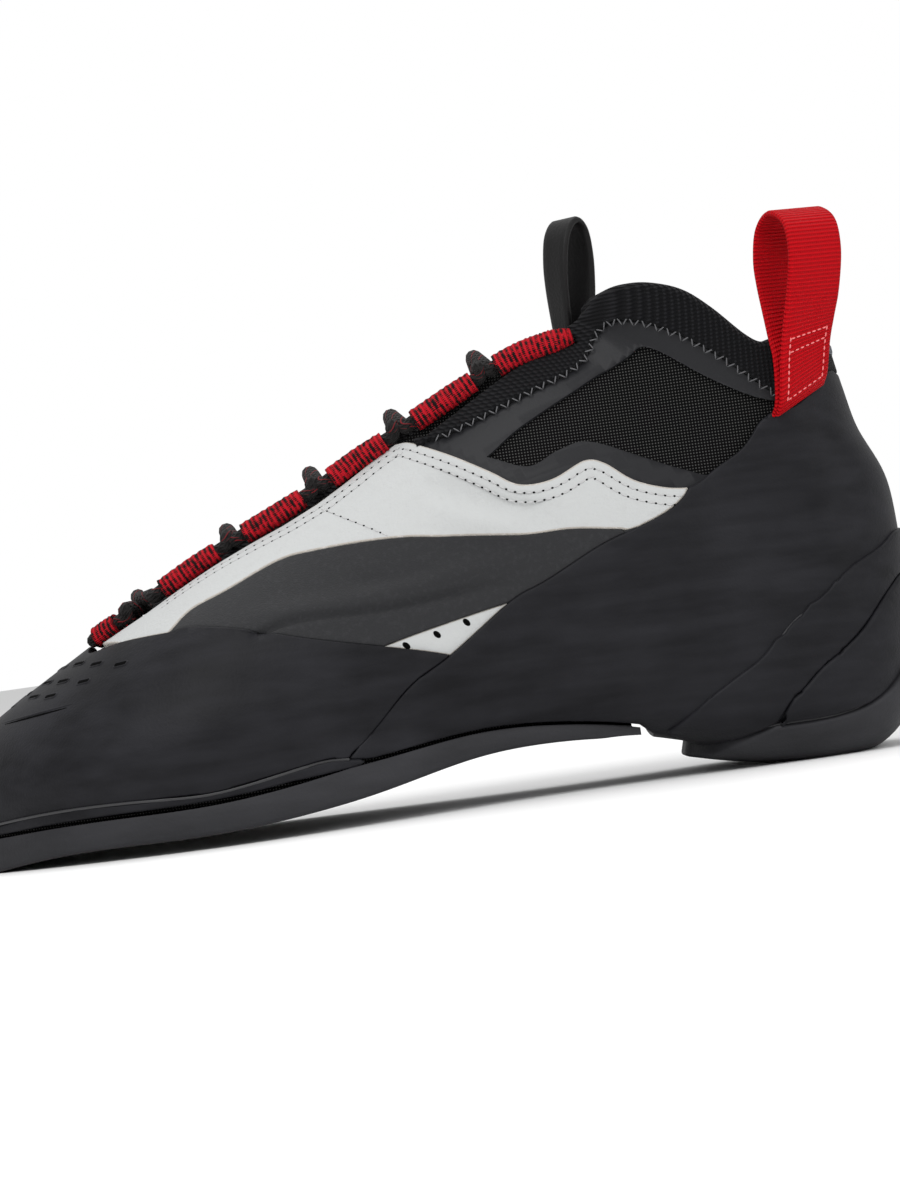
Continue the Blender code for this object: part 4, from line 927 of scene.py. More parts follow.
@dataclass
class Panel:
    """A sheet cut to an outline and lasted over the shoe, with a rounded border."""

    name: str
    outline: Line
    height: object
    finishes: tuple[Finish, ...]
    nodes: tuple[str, ...] = ()
    beside: Line = field(default_factory=list)
    edge: float = 0.0004
    base: float = 0.0
    folds: tuple[Fold, ...] = ()
    whole: bool = False
    flat_floor: bool = False
    step: int = 1
    fine: int = 1
    border_finish: int = 0

    def pinned(self, spot: Spot) -> bool:
        """Whether a corner lies on the seam under the sole or at the toe's tip."""
        return self.whole and (spot[0] == 0 or abs(abs(spot[1]) - 1) < 1e-9)

    def heights(self, s: np.ndarray, p: np.ndarray) -> np.ndarray:
        """The outer face's heights over the last."""
        return self.height(s, p) if callable(self.height) else np.full(s.shape, self.height)

    def placed(self, s: np.ndarray, p: np.ndarray, heights: np.ndarray) -> np.ndarray:
        """Points of the outer face, with its folds."""
        points = LAST.lift(s, p, heights)
        drop = np.zeros(len(s))
        for fold in self.folds:
            drop += fold.drop(points[:, 0], points[:, 2])
        return LAST.lift(s, p, heights - drop)

    def build(self) -> bpy.types.Object:
        """Cuts, wraps and borders the sheet.

        Returns:
            The finished piece.
        """
        bm = bmesh.new()
        spots = []
        for outline in (self.outline, self.beside):
            if not outline:
                continue
            patch = drawn_in(outline, self.edge, self.pinned) if self.edge else outline
            area = sum(a[0] * b[1] - b[0] * a[1] for a, b in zip(patch[-1:] + patch, patch))
            if area < 0:
                patch = patch[::-1]
            bm.faces.new([bm.verts.new((s, p, 0)) for s, p in patch])
            spots += patch
        self.cut(bm, np.array(spots))
        bmesh.ops.triangulate(bm, faces=[f for f in bm.faces if len(f.verts) > 4])
        self.wrap(bm)
        self.border(bm)
        if self.flat_floor:
            for v in bm.verts:
                v.co.z = max(0.0, v.co.z)
        return added(self.name, bm, self.finishes, self.nodes)

    def cut(self, bm: bmesh.types.BMesh, spots: np.ndarray) -> None:
        """Cuts the flat pattern along fine stations and places."""
        (low_s, low_p), (high_s, high_p) = spots.min(0), spots.max(0)
        stations, places = (finer(cuts[::self.step], self.fine) for cuts in (STATION_CUTS, PLACE_CUTS))
        places = sorted({round(turn + sign * p, 9) for p in places for turn in (0, 2) for sign in (-1, 1)})
        cuts = [((s, 0, 0), (1, 0, 0)) for s in stations if low_s < s < high_s]
        cuts += [((0, p, 0), (0, 1, 0)) for p in places if low_p < p < high_p]
        for centre, across in cuts:
            bmesh.ops.bisect_plane(bm, geom=bm.verts[:] + bm.edges[:] + bm.faces[:], dist=1e-7,
                                   plane_co=centre, plane_no=across)

    def wrap(self, bm: bmesh.types.BMesh) -> None:
        """Lays the flat pattern over the shoe, keeping its flat place in a layer."""
        keep = bm.verts.layers.float_vector.new("flat")
        for v in bm.verts:
            v[keep] = v.co
        flat = np.array([v.co for v in bm.verts], float)
        s, p = flat[:, 0], flat[:, 1]
        for v, point in zip(bm.verts, self.placed(s, p, self.heights(s, p))):
            v.co = point
        bmesh.ops.remove_doubles(bm, verts=bm.verts, dist=2e-6)
        bm.normal_update()
        total = 0.0
        for f in list(bm.faces)[::40]:
            spot = [np.mean([v[keep][k] for v in f.verts]) for k in (0, 1)]
            total += f.normal.dot(Vector(LAST.normal(*spot)))
        if total < 0:
            bmesh.ops.reverse_faces(bm, faces=bm.faces)

    def border(self, bm: bmesh.types.BMesh) -> None:
        """Turns the open border down to the base in a soft round."""
        keep = bm.verts.layers.float_vector["flat"]
        rim = [e for e in bm.edges if e.is_boundary]
        outward: dict[bmesh.types.BMVert, Vector] = {}
        for e in rim:
            face = e.link_faces[0]
            way = e.verts[1].co - e.verts[0].co
            if way.length < 1e-9:
                continue
            way.normalize()
            out = (e.verts[0].co + e.verts[1].co) / 2 - face.calc_center_median()
            out -= way * out.dot(way)
            out -= face.normal * out.dot(face.normal)
            if out.length > 1e-9:
                for v in e.verts:
                    outward[v] = outward.get(v, Vector()) + out.normalized()
        state = {}
        for v, out in outward.items():
            size = max(out.length, 1e-6)
            s, p = v[keep][0], v[keep][1]
            normal = Vector(LAST.normal(s, p))
            away = out / size * min(1.5, 2 / size) if size > 0.2 else out
            state[v] = (v.co.copy(), away, normal, float(self.heights(np.array([s]), np.array([p]))[0]))
        turns = [(math.sin(a), 1 - math.cos(a)) for a in (math.pi / 6, math.pi / 3, QUARTER)]
        ring = [e for e in rim if e.verts[0] in state and e.verts[1] in state]
        for out_by, down_by in (*turns, (1.0, None)):
            grown = bmesh.ops.extrude_edge_only(bm, edges=ring)["geom"]
            following = {}
            for v in (g for g in grown if isinstance(g, bmesh.types.BMVert)):
                before = next(e.other_vert(v) for e in v.link_edges if e.other_vert(v) in state)
                origin, away, normal, height = following[v] = state[before]
                depth = height - self.base if down_by is None else self.edge * down_by
                v.co = origin + away * self.edge * out_by - normal * depth
            for f in (g for g in grown if isinstance(g, bmesh.types.BMFace)):
                f.material_index = self.border_finish
            ring = [g for g in grown if isinstance(g, bmesh.types.BMEdge)
                    and g.verts[0] in following and g.verts[1] in following]
            state = following
        bm.normal_update()


def finer(cuts: Sequence[float], parts: int) -> list[float]:
    """The cuts with each stretch between them split into equal parts."""
    return [a + (b - a) * k / parts for a, b in zip(cuts, cuts[1:]) for k in range(parts)] + [cuts[-1]]


def heading(path: Sequence[np.ndarray], k: int) -> np.ndarray:
    """The way from one point's neighbour on a path to the next."""
    return path[min(k + 1, len(path) - 1)] - path[max(k - 1, 0)]


def square_to(path: Sequence[np.ndarray], ups: Sequence[np.ndarray]) -> list[Frame]:
    """Frames square to a path.

    Args:
        path: the path's points.
        ups: rough upward directions.

    Returns:
        For each point its (centre, across, up).
    """
    frames = []
    for k, (centre, normal) in enumerate(zip(path, ups)):
        way = unit(heading(path, k))
        across = unit(np.cross(way, normal))
        frames.append((centre, across, np.cross(across, way)))
    return frames


@dataclass
class Sweep:
    """A profile drawn along a path, with its own UV map in millimetres."""

    name: str
    finishes: tuple[Finish, ...]
    nodes: tuple[str, ...] = ()
    capped: bool = True
    sharp: float = 60.0

    def build(self, frames: Sequence[Frame], profile: Sequence[Spot],
              scale: Optional[Sequence[float]] = None, bore: Sequence[Spot] = ()) -> bpy.types.Object:
        """Extrudes the profile along the frames.

        Args:
            frames: (centre, across, up) for each step of the path.
            profile: the closed profile's (across, up) points, anticlockwise.
            scale: the profile's size at each step.
            bore: an inner profile, which makes the sweep a hollow tube.

        Returns:
            The finished piece.
        """
        bm = bmesh.new()
        flat = bm.loops.layers.uv.new("UVMap")
        scale = scale or [1.0] * len(frames)
        ends = []
        for k, outline in enumerate((profile, bore)):
            if outline:
                ends.append(self.skin(bm, flat, frames, outline, scale, bool(k)))
        if bore:
            for which in (0, 1):
                rims = [e for skin in ends for e in skin[which]]
                bmesh.ops.bridge_loops(bm, edges=rims)
        elif self.capped:
            for rim in ends[0]:
                bmesh.ops.contextual_create(bm, geom=rim)
        bmesh.ops.recalc_face_normals(bm, faces=bm.faces)
        if not bore and self.capped and bm.calc_volume(signed=True) < 0:
            bmesh.ops.reverse_faces(bm, faces=bm.faces)
        return added(self.name, bm, self.finishes, self.nodes, self.sharp)

    def skin(self, bm: bmesh.types.BMesh, flat: bmesh.types.BMLayerItem,
             frames: Sequence[Frame], outline: Sequence[Spot], scale: Sequence[float],
             inner: bool) -> tuple[list, list]:
        """One skin of the sweep, by extruding its first ring from frame to frame.

        Args:
            bm: the mesh to add to.
            flat: its UV layer.
            frames: the path's frames.
            outline: the profile.
            scale: the profile's size at each step.
            inner: whether the skin is a bore.

        Returns:
            The edges of its first and last rings.
        """
        def placed(step: int) -> list[Vector]:
            centre, across, up = frames[step]
            return [Vector(centre + (across * a + up * b) * scale[step]) for a, b in outline]

        ring, edges = first_ring(bm, placed(0))
        first = list(edges)
        count = len(ring)
        sides = [math.dist(outline[k], outline[(k + 1) % count]) for k in range(count)]
        girth = np.concatenate([[0], np.cumsum(sides)]) / MM
        run = 0.0
        for step in range(1, len(frames)):
            following, edges, faces = next_ring(bm, ring, edges)
            for v, place in zip(following, placed(step)):
                v.co = place
            length = float(np.linalg.norm(frames[step][0] - frames[step - 1][0])) / MM
            old = {v: k for k, v in enumerate(ring)}
            new = {v: k for k, v in enumerate(following)}
            for f in faces:
                numbers = {old.get(v, new.get(v)) for v in f.verts}
                wraps = numbers == {0, count - 1}
                for loop in f.loops:
                    k = old.get(loop.vert, new.get(loop.vert))
                    around = girth[count] if wraps and k == 0 else girth[k]
                    loop[flat].uv = (run + (length if loop.vert in new else 0.0), around)
                f.material_index = min(int(inner), len(self.finishes) - 1)
            ring = following
            run += length
        return first, edges


def oval(width: float, height: float, count: int, flat_base: float = 1.0) -> list[Spot]:
    """An oval profile, its base flattened where flat_base is below 1."""
    turns = [FULL_TURN * (k + 0.5) / count for k in range(count)]
    return [(width / 2 * math.cos(a), height / 2 * max(math.sin(a), -flat_base)) for a in turns]


def strip(width: float, thickness: float) -> list[Spot]:
    """A flat tape's profile with soft edges."""
    w, t = width / 2, thickness / 2
    half = [(w - t * 0.9, -t), (w - t * 0.25, -t * 0.7), (w, 0.0), (w - t * 0.25, t * 0.7), (w - t * 0.9, t)]
    middle = [(w * f, t) for f in (0.5, 0.0, -0.5)]
    return half + middle + [(-a, -b) for a, b in half] + [(-a, -b) for a, b in middle]


def spaced(path: Sequence[np.ndarray], pitch: float) -> list[tuple[np.ndarray, np.ndarray]]:
    """Points evenly spaced along a path, each with the path's direction there."""
    path = np.array(path)
    runs = np.concatenate([[0], np.cumsum(np.linalg.norm(np.diff(path, axis=0), axis=1))])
    count = max(2, round(runs[-1] / pitch))
    spots = []
    for k in range(count):
        at = runs[-1] * (k + 0.5) / count
        n = min(int(np.searchsorted(runs, at, side="right")) - 1, len(path) - 2)
        f = (at - runs[n]) / max(runs[n + 1] - runs[n], 1e-12)
        way = path[n + 1] - path[n]
        spots.append((path[n] + way * f, way / np.linalg.norm(way)))
    return spots


@dataclass
class Stitches:
    """Rows of thread, each stitch a small capsule sunk at its ends."""

    name: str
    finish: Finish
    pitch: float = 0.0023
    thick: float = 0.0006
    share: float = 0.8
    holes: bool = False

    def build(self, rows: Sequence[Row]) -> bpy.types.Object:
        """Lays the stitches.

        Args:
            rows: each row's path and a function that gives the outward direction at a point.

        Returns:
            The finished piece.
        """
        bm = bmesh.new()
        for path, outward in rows:
            for centre, way in spaced(path, self.pitch):
                across = unit(np.cross(outward(centre), way))
                up = np.cross(way, across)
                bead(bm, centre, (across * self.thick / 2, way * self.pitch * self.share / 2,
                                  up * self.thick * 0.5), 6, 4)
        if self.holes:
            self.pinholes(rows)
        return added(self.name, bm, (self.finish,))

    def pinholes(self, rows: Sequence[Row]) -> None:
        """The dark holes that the thread goes down through, one between each two stitches."""
        bm = bmesh.new()
        for path, outward in rows:
            spots = spaced(path, self.pitch)
            for (centre, way), (following, _) in zip(spots, spots[1:]):
                middle = (centre + following) / 2
                up = outward(middle)
                across = unit(np.cross(up, way))
                bead(bm, middle, (across * self.thick * 0.6, way * self.thick * 0.7,
                                  up * self.thick * 0.2), 8, 4)
        added(f"{self.name}_holes", bm, (SHADE,))


def over(line: Sequence[Spot], height: float) -> list[np.ndarray]:
    """A path at a height over a line of (station, place) pairs."""
    spots = np.array(line, float)
    return list(LAST.lift(spots[:, 0], spots[:, 1], np.full(len(spots), height)))


def outward_at(side: int) -> Callable[[np.ndarray], np.ndarray]:
    """A function for the last's outward direction near a point on one side."""
    stations, places = np.meshgrid(np.linspace(0.5, 22.5, 89), np.linspace(0.0, 0.96, 49) * side,
                                   indexing="ij")
    points = LAST.point(stations, places).reshape(-1, 3)
    normals = LAST.normal(stations, places).reshape(-1, 3)

    def outward(point: np.ndarray) -> np.ndarray:
        return normals[int(np.argmin(np.sum((points - point) ** 2, axis=1)))]

    return outward


OUTWARD = {side: outward_at(side) for side in (-1, 1)}


def beside(line: Line, distance: float, side: int) -> Line:
    """A line moved sideways on the shoe; a positive distance is to the left of its run seen from outside."""
    spots = np.array(line, float)
    points = LAST.point(spots[:, 0], spots[:, 1])
    normals = LAST.normal(spots[:, 0], spots[:, 1])
    ways = np.gradient(points, axis=0)
    push = np.cross(normals, ways / np.linalg.norm(ways, axis=1, keepdims=True)) * distance
    s, p = spots[:, 0], spots[:, 1]
    along = (LAST.point(s + ALONG_STEP, p) - LAST.point(s - ALONG_STEP, p)) / (2 * ALONG_STEP)
    around = (LAST.point(s, p + AROUND_STEP) - LAST.point(s, p - AROUND_STEP)) / (2 * AROUND_STEP)
    moved = []
    for k in range(len(line)):
        shift = np.linalg.lstsq(np.stack([along[k], around[k]], 1), push[k], rcond=None)[0]
        moved.append((float(s[k] + shift[0]), float(p[k] + shift[1])))
    return moved


def part_of(line: Line, first: float, last: float) -> Line:
    """The part of a line between two shares of its length."""
    count = len(line) - 1
    return line[round(first * count):round(last * count) + 1]


def over_throat(station: float, across: float, lift: float) -> tuple[np.ndarray, np.ndarray]:
    """A point over the throat and the outward direction there.

    Args:
        station: where along the foot.
        across: -1 to 1 between the two rows of tunnels.
        lift: the height over the last.

    Returns:
        The point and the direction.
    """
    width = abs(across) * (throat_half(station) + SIZES.tunnel_width / 2)
    place = LAST.place_at_width(station, width, -1 if across < 0 else 1)
    normal = LAST.normal(station, place)
    return LAST.point(station, place) + lift * normal, normal


@dataclass
class Camera:
    """The photo's view: a little rolled, because the shoe stands on level ground."""

    lens: float = 100.0
    sensor: float = 24.0
    cosine: float = 0.9901
    sine: float = 0.1404
    place: tuple[float, ...] = (-0.0866, -0.93, 0.0504)

    def build(self) -> None:
        """Makes the camera and looks through it."""
        data = bpy.data.cameras.new("camera")
        data.lens = self.lens
        data.sensor_width = self.sensor
        data.sensor_fit = "HORIZONTAL"
        data.clip_start = 0.05
        camera = bpy.data.objects.new("camera", data)
        bpy.context.scene.collection.objects.link(camera)
        right = Vector((self.cosine, 0, -self.sine))
        up = Vector((self.sine, 0, self.cosine))
        turn = Matrix((right, up, Vector((0, -1, 0)))).transposed().to_4x4()
        camera.matrix_world = Matrix.Translation(self.place) @ turn
        bpy.context.scene.camera = camera


@dataclass
class Studio:
    """Pale floor and soft light from above, in front and both sides."""

    floor_size: float = 6.0
    backdrop: float = 1.0
    ambient: float = 0.65
    key: float = 10.0
    aim: tuple[float, ...] = (-0.1, 0.0, 0.05)

    def build(self) -> None:
        """Makes the floor, the sky and the lamps."""
        bpy.context.scene.view_settings.view_transform = "Standard"
        world = bpy.data.worlds.new("sky")
        world.use_nodes = True
        sky = world.node_tree.nodes["Background"]
        sky.inputs["Color"].default_value = (1, 1, 1, 1)
        seen = world.node_tree.nodes.new("ShaderNodeLightPath")
        strength = world.node_tree.nodes.new("ShaderNodeMath")
        strength.operation = "MULTIPLY_ADD"
        strength.inputs[1].default_value = self.backdrop - self.ambient
        strength.inputs[2].default_value = self.ambient
        world.node_tree.links.new(seen.outputs["Is Camera Ray"], strength.inputs[0])
        world.node_tree.links.new(strength.outputs[0], sky.inputs["Strength"])
        bpy.context.scene.world = world
        bm = bmesh.new()
        bmesh.ops.create_grid(bm, x_segments=1, y_segments=1, size=self.floor_size)
        mesh = bpy.data.meshes.new("floor")
        bm.to_mesh(mesh)
        bm.free()
        mesh.materials.append(Finish("floor paper", "", (0.9, 0.9, 0.9), 0.9, specular=0.1).build())
        floor = bpy.data.objects.new("floor", mesh)
        floor.location.z = -0.0001
        bpy.context.scene.collection.objects.link(floor)
        floor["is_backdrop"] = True
        for name, place, size, power in (("key", (-0.5, -0.9, 1.1), 0.9, self.key),
                                         ("fill", (0.9, -0.8, 0.7), 0.9, self.key * 0.45),
                                         ("top", (0.0, 0.4, 1.3), 1.0, self.key * 0.6)):
            data = bpy.data.lights.new(name, "AREA")
            data.shape = "DISK"
            data.size = size
            data.energy = power
            lamp = bpy.data.objects.new(name, data)
            lamp.location = place
            way = Vector(self.aim) - Vector(place)
            lamp.rotation_euler = way.to_track_quat("-Z", "Y").to_euler()
            bpy.context.scene.collection.objects.link(lamp)
            lamp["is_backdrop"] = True


FOLDS = (
    Fold(((6.5, 0.81), (7.13, 0.663), (7.78, 0.618), (8.88, 0.509), (10.35, 0.454)), 1.3, 0.75),
    Fold(((7.0, 0.74), (7.6, 0.67), (8.5, 0.585), (9.8, 0.53), (10.6, 0.51)), -0.9, 3.0),
    Fold(((5.6, 0.62), (6.6, 0.52), (7.6, 0.40), (8.6, 0.30)), 0.45, 4.0),
    Fold(((4.0, 0.45), (5.2, 0.40), (6.3, 0.28)), -0.4, 5.0),
    Fold(((9.7, 0.85), (9.9, 0.80), (10.25, 0.73), (10.7, 0.65), (11.3, 0.60)), 1.3, 3.0),
    Fold(((9.7, 0.75), (10.2, 0.665), (10.9, 0.60)), -1.1, 3.5),
    Fold(((8.4, 0.66), (8.9, 0.60), (9.6, 0.56)), 0.5, 2.2),
    Fold(((12.6, 0.40), (13.6, 0.46), (15.0, 0.45), (16.4, 0.38)), 0.35, 4.5),
    Fold(((9.0, 0.16), (10.0, 0.24), (11.2, 0.33)), 0.4, 5.0),
)


@dataclass
class Shell:
    """The upper's one hollow wall: cloth outside, lining inside, with the liner on its floor."""

    sizes: ShoeSizes = SIZES
    liner_ends: Spot = (1.6, 13.8)
    liner_reach: float = 0.18
    liner_thick: float = 0.0022
    pad_thick: float = 0.0045

    def outline(self) -> Line:
        """The wall's outline: open at the throat and collar, and underneath."""
        throat = [(THROAT_TOE, 0.0)]
        throat += throat_edge((5.25, 5.6, 6, 6.5, 7, 7.5, 8, 8.6, 9.2, 10, 11, 12, 13, 15, 17), 1)
        opening = [(14.0, 1.0), (13.5, 0.88), (13.0, 0.85), (11.0, 0.82), (9.0, 0.80), (6.0, 0.79),
                   (4.0, 0.80), (2.8, 0.84), (2.2, 0.90), (1.9, 1.0)]
        return across_ridge(throat + side_line(RIM, 1) + opening + [(0.0, 1.0)])

    def build(self) -> None:
        """Builds the wall's two faces and the liner."""
        wall = self.sizes.wall
        Panel("upper_cloth", self.outline(), 0.0, (MESH_CLOTH, LINING), ("upper",), edge=0.0002,
              base=-wall, whole=True, step=2, border_finish=1).build()
        Lining("upper_lining", self.outline(), -wall, (LINING,), edge=0.0, whole=True, step=2).build()
        self.liner()
        self.back_pad()

    def liner(self) -> None:
        """The flat foam liner."""
        low = -self.sizes.wall - self.sizes.gap
        bm = bmesh.new()
        grid = bmesh.ops.create_grid(bm, x_segments=59, y_segments=8, size=1.0)["verts"]
        for v in grid:
            s = float(np.interp(v.co.x, (-1, 1), self.liner_ends))
            v.co = Vector(LAST.lift(s, 1.0 + self.liner_reach * v.co.y, np.array(low)))
        bmesh.ops.recalc_face_normals(bm, faces=bm.faces)
        shell = bmesh.ops.extrude_face_region(bm, geom=bm.faces[:], use_keep_orig=True)
        for v in (g for g in shell["geom"] if isinstance(g, bmesh.types.BMVert)):
            v.co.z += self.liner_thick
        bmesh.ops.recalc_face_normals(bm, faces=bm.faces)
        added("liner", bm, (FOAM,), ("insole",), 50.0)

    def back_pad(self) -> None:
        """The rounded grey pad inside the collar's back."""
        def height(s: np.ndarray, p: np.ndarray) -> np.ndarray:
            round_it = np.clip(1 - ((s - 19.9) / 2.1) ** 2, 0, 1) * np.clip(1 - (p / 0.44) ** 2, 0, 1)
            return -self.sizes.wall - self.pad_thick * np.sqrt(round_it)

        half = [(22.0, 0.0), (22.0, 0.15), (21.6, 0.3), (21.2, 0.38), (20.4, 0.43), (19.2, 0.42),
                (18.3, 0.33), (17.9, 0.18), (17.8, 0.0)]
        line = [(s, 1 - p) for s, p in half]
        pad = Lining("collar_back_pad", line + past_sole(line[1:-1]), lambda s, p: height(s, 1 - np.abs(p)),
                     (PAD,), edge=0.0)
        pad.build()


@dataclass
class Lining(Panel):
    """A sheet that faces inwards."""

    def border(self, bm: bmesh.types.BMesh) -> None:
        """Turns its faces inwards and leaves the border open against the wall."""
        bmesh.ops.reverse_faces(bm, faces=bm.faces)


@dataclass
class ToeBox:
    """The toe's thin rubber, its vents, and the rand that runs round below it."""

    sizes: ShoeSizes = SIZES
    vents: tuple[Spot, ...] = (
        (-167.5, 44.6), (-173.9, 45.3), (-178.9, 45.8), (-184.2, 45.3), (-188.2, 44.6), (-177.3, 41.6),
        (-183.0, 42.2), (-187.8, 42.2), (-192.2, 41.8), (-186.3, 39.1), (-191.3, 39.3), (-196.7, 39.1))
    vent: Spot = (2.2, 0.25)
    slit: tuple[Spot, Spot] = ((-199.5, 33.7), (-179.5, 36.4))
    slit_width: float = 0.0009

    def toe_outline(self) -> Line:
        """The toe rubber's outline, over the ridge."""
        half = [(0.0, 1.0)] + side_line(RAND_TOP, 1) + stretch(HEEL_FRONT, 1, 0, 2)[1:]
        half += stretch(TOE_BACK, 1, 5, 0)[1:] + stretch(TOE_TOP, 1, 4, 0)[1:]
        return across_ridge(half)

    def rand_outline(self) -> Line:
        """The rand's outline, unwrapped round the toe's tip."""
        low = [(s, low_place(s)) for s in (RAND_BACK + 0.2, 7, 6, 5, 4, 3)] + list(RAND_TOE)
        low += past_sole(low[:-1])
        return low + unwrapped(side_line(RAND_TOP, -1))[::-1] + side_line(RAND_TOP, 1)[1:]

    def build(self) -> None:
        """Builds the toe rubber, the rand and their trim."""
        s = self.sizes
        top = s.gap + s.toe_rubber
        Panel("toe_rubber_skin", self.toe_outline(), top, (RUBBER,), ("toe_rubber",), edge=0.0006,
              base=s.gap, whole=True, folds=FOLDS).build()
        Panel("rand_strip", self.rand_outline(), s.gap + s.rand, (RUBBER,), ("rand",), edge=0.0007).build()
        # Painted highlight beads along the rand's top edge on both sides.
        for side in Side:
            line = side_line(RAND_TOP[3:], side.value)
            HighlightLine(f"rand_glue_{side.tag}").build(over(line, s.gap + s.rand - 0.0002), side.value)
        ends = [((x, z), (x + self.vent[0], z + self.vent[1])) for x, z in self.vents]
        Slots("toe_vents", 0.0011, top).build([self.on_last(a, b) for a, b in ends])
        slit = [LAST.spot(x * MM, z * MM, -1) for x, z in np.linspace(self.slit[0], self.slit[1], 12)]
        width = self.slit_width
        for name, finish, line, lift in (("toe_slit", SHADE, slit, 0.0),
                                         ("toe_slit_lip", RUBBER, beside(slit, 0.0008, -1), 0.0001)):
            path = over(line, top - width * 0.3 + lift)
            ups = [OUTWARD[-1](point) for point in path]
            last = len(path) - 1
            taper = [math.sin(math.pi * (0.08 + 0.84 * k / last)) ** 0.5 for k in range(len(path))]
            Sweep(name, (finish,)).build(square_to(path, ups), oval(width, width, 8), taper)

    def on_last(self, first: Spot, last: Spot) -> tuple[Spot, Spot]:
        """The (station, place) of both ends of a vent seen from the outer side."""
        return tuple(LAST.spot(x * MM, z * MM, -1) for x, z in (first, last))


@dataclass
class HighlightLine:
    """A thin, lighter, glossy bead along a raised rubber edge: painted highlight where the edge catches the
    light.
    """

    name: str
    width: float = 0.0007

    def build(self, path: Sequence[np.ndarray], side: int) -> bpy.types.Object:
        """Draws the bead along a path."""
        ups = [OUTWARD[side](point) for point in path]
        return Sweep(self.name, (EDGE_HIGHLIGHT,)).build(square_to(path, ups), oval(self.width, self.width, 6))


@dataclass
class Slots:
    """Short dark slots with a soft raised lip."""

    name: str
    width: float
    height: float
    corners: int = 16
    lip: tuple[Spot, ...] = ((0.0, 0.00012), (0.00018, 0.00018), (0.0004, 0.0001), (0.0006, -0.0003))

    def build(self, slots: Sequence[tuple[Spot, Spot]]) -> None:
        """Makes the lips and the dark floors.

        Args:
            slots: each slot's two ends as (station, place).
        """
        lips, floors = bmesh.new(), bmesh.new()
        for first, last in slots:
            ends = over([first, last], self.height)
            middle = (ends[0] + ends[1]) / 2
            side = -1 if first[1] < 0 else 1
            up = OUTWARD[side](middle)
            way = (ends[1] - ends[0]) / 2
            reach = float(np.linalg.norm(way))
            way = way / reach
            across = np.cross(up, way)
            turns = [FULL_TURN * (k + 0.5) / self.corners for k in range(self.corners)]
            ring = [(math.cos(a) * self.width / 2 + math.copysign(reach, math.cos(a)),
                     math.sin(a) * self.width / 2) for a in turns]

            def at(u: float, v: float, h: float) -> Vector:
                return Vector(middle + way * u + across * v + up * h)

            loop, edges = first_ring(lips, [at(u, v, -0.0003) for u, v in ring])
            for grow, rise in self.lip:
                loop, edges, _ = next_ring(lips, loop, edges)
                for v, (a, b) in zip(loop, ring):
                    size = math.hypot(b, abs(a) - reach) if abs(a) > reach else abs(b)
                    out = (abs(a) - reach) / size * math.copysign(1, a) if abs(a) > reach else 0.0
                    v.co = at(a + out * grow, b + b / size * grow, rise)
            floors.faces.new([floors.verts.new(at(u, v, 0.00005)) for u, v in ring])
        bmesh.ops.recalc_face_normals(lips, faces=lips.faces)
        added(f"{self.name}_lips", lips, (RUBBER,))
        added(f"{self.name}_floors", floors, (SHADE,))


@dataclass
class HeelWrap:
    """The tensioned heel rubber with its two stepped layers and the heel's sole cup."""

    sizes: ShoeSizes = SIZES

    def rubber_outline(self) -> Line:
        """The heel rubber's outline, unwrapped under the sole."""
        front = side_line(HEEL_FRONT, 1)[:-1] + side_line(HEEL_TOP, 1)
        low = [(OUTSOLE_BACK + 0.12, 1.0), (OUTSOLE_BACK + 0.12, 0.85)]
        low += [(OUTSOLE_BACK, low_place(OUTSOLE_BACK))]
        low += [(s, low_place(s)) for s in (10.8, 9.6, 8.3, RAND_BACK + 0.25)]
        return front + past_sole(front[:-1]) + past_sole(low) + low[1:]

    def layer_outline(self, high: Line, low: Line) -> Line:
        """The outline between two lines that both cross the heel's back."""
        high, low = (line + past_sole(line[:-1]) for line in (high, low))
        return high + low[::-1]

    def build(self) -> None:
        """Builds the rubber, the layers and the cup."""
        s = self.sizes
        top = s.gap + s.heel_rubber
        base = 2.4 * s.gap + s.heel_rubber
        Panel("heel_wrap", self.rubber_outline(), top, (RUBBER,), ("heel_rubber",), edge=0.0006, base=s.gap,
              folds=FOLDS).build()
        Panel("heel_step_low", self.layer_outline(side_line(RIB_2, 1), side_line(HEEL_SOLE_BACK, 1)[1:]),
              base + s.heel_step_2, (RUBBER,), ("heel_layer_low",), edge=0.0008, base=top - 0.0001).build()
        sole_front = side_line(HEEL_SOLE_FRONT[1:], 1)[:-1]
        Panel("heel_step_high", self.layer_outline(side_line(RIB_1, 1), sole_front + side_line(RIB_2, 1)),
              base + s.heel_step_1, (RUBBER,), ("heel_layer_high",), edge=0.0007, base=top - 0.0001).build()
        half = side_line(HEEL_SOLE_FRONT, 1)[:-1] + side_line(HEEL_SOLE_BACK, 1)
        outline = half + past_sole(half[1:-1])

        def height(_: np.ndarray, p: np.ndarray) -> np.ndarray:
            share = np.clip((1 - np.abs(1 - p) - 0.72) / 0.12, 0, 1)
            return base + s.heel_sole_edge + (s.heel_sole - s.heel_sole_edge + 0.0012) * share

        Panel("heel_cup", outline, height, (SOLE_RUBBER,), ("heel_sole",), edge=0.0009, base=top - 0.0001,
              flat_floor=True).build()
        # Painted highlight beads along the upper step's edge and the heel cup's edge.
        seams = (("heel_step_highlight", RIB_1, 0.0005, (0.05, 1.0), 0.0001),
                 ("heel_cup_highlight", HEEL_SOLE_FRONT[:-1] + HEEL_SOLE_BACK, 0.0006, (0.06, 0.9), 0.0002))
        for side in Side:
            for name, seam, width, (first, last), lift in seams:
                line = beside(side_line(seam, side.value), 0.0003 * side.value, side.value)
                path = over(part_of(line, first, last), top + lift)
                HighlightLine(f"{name}_{side.tag}", width).build(path, side.value)


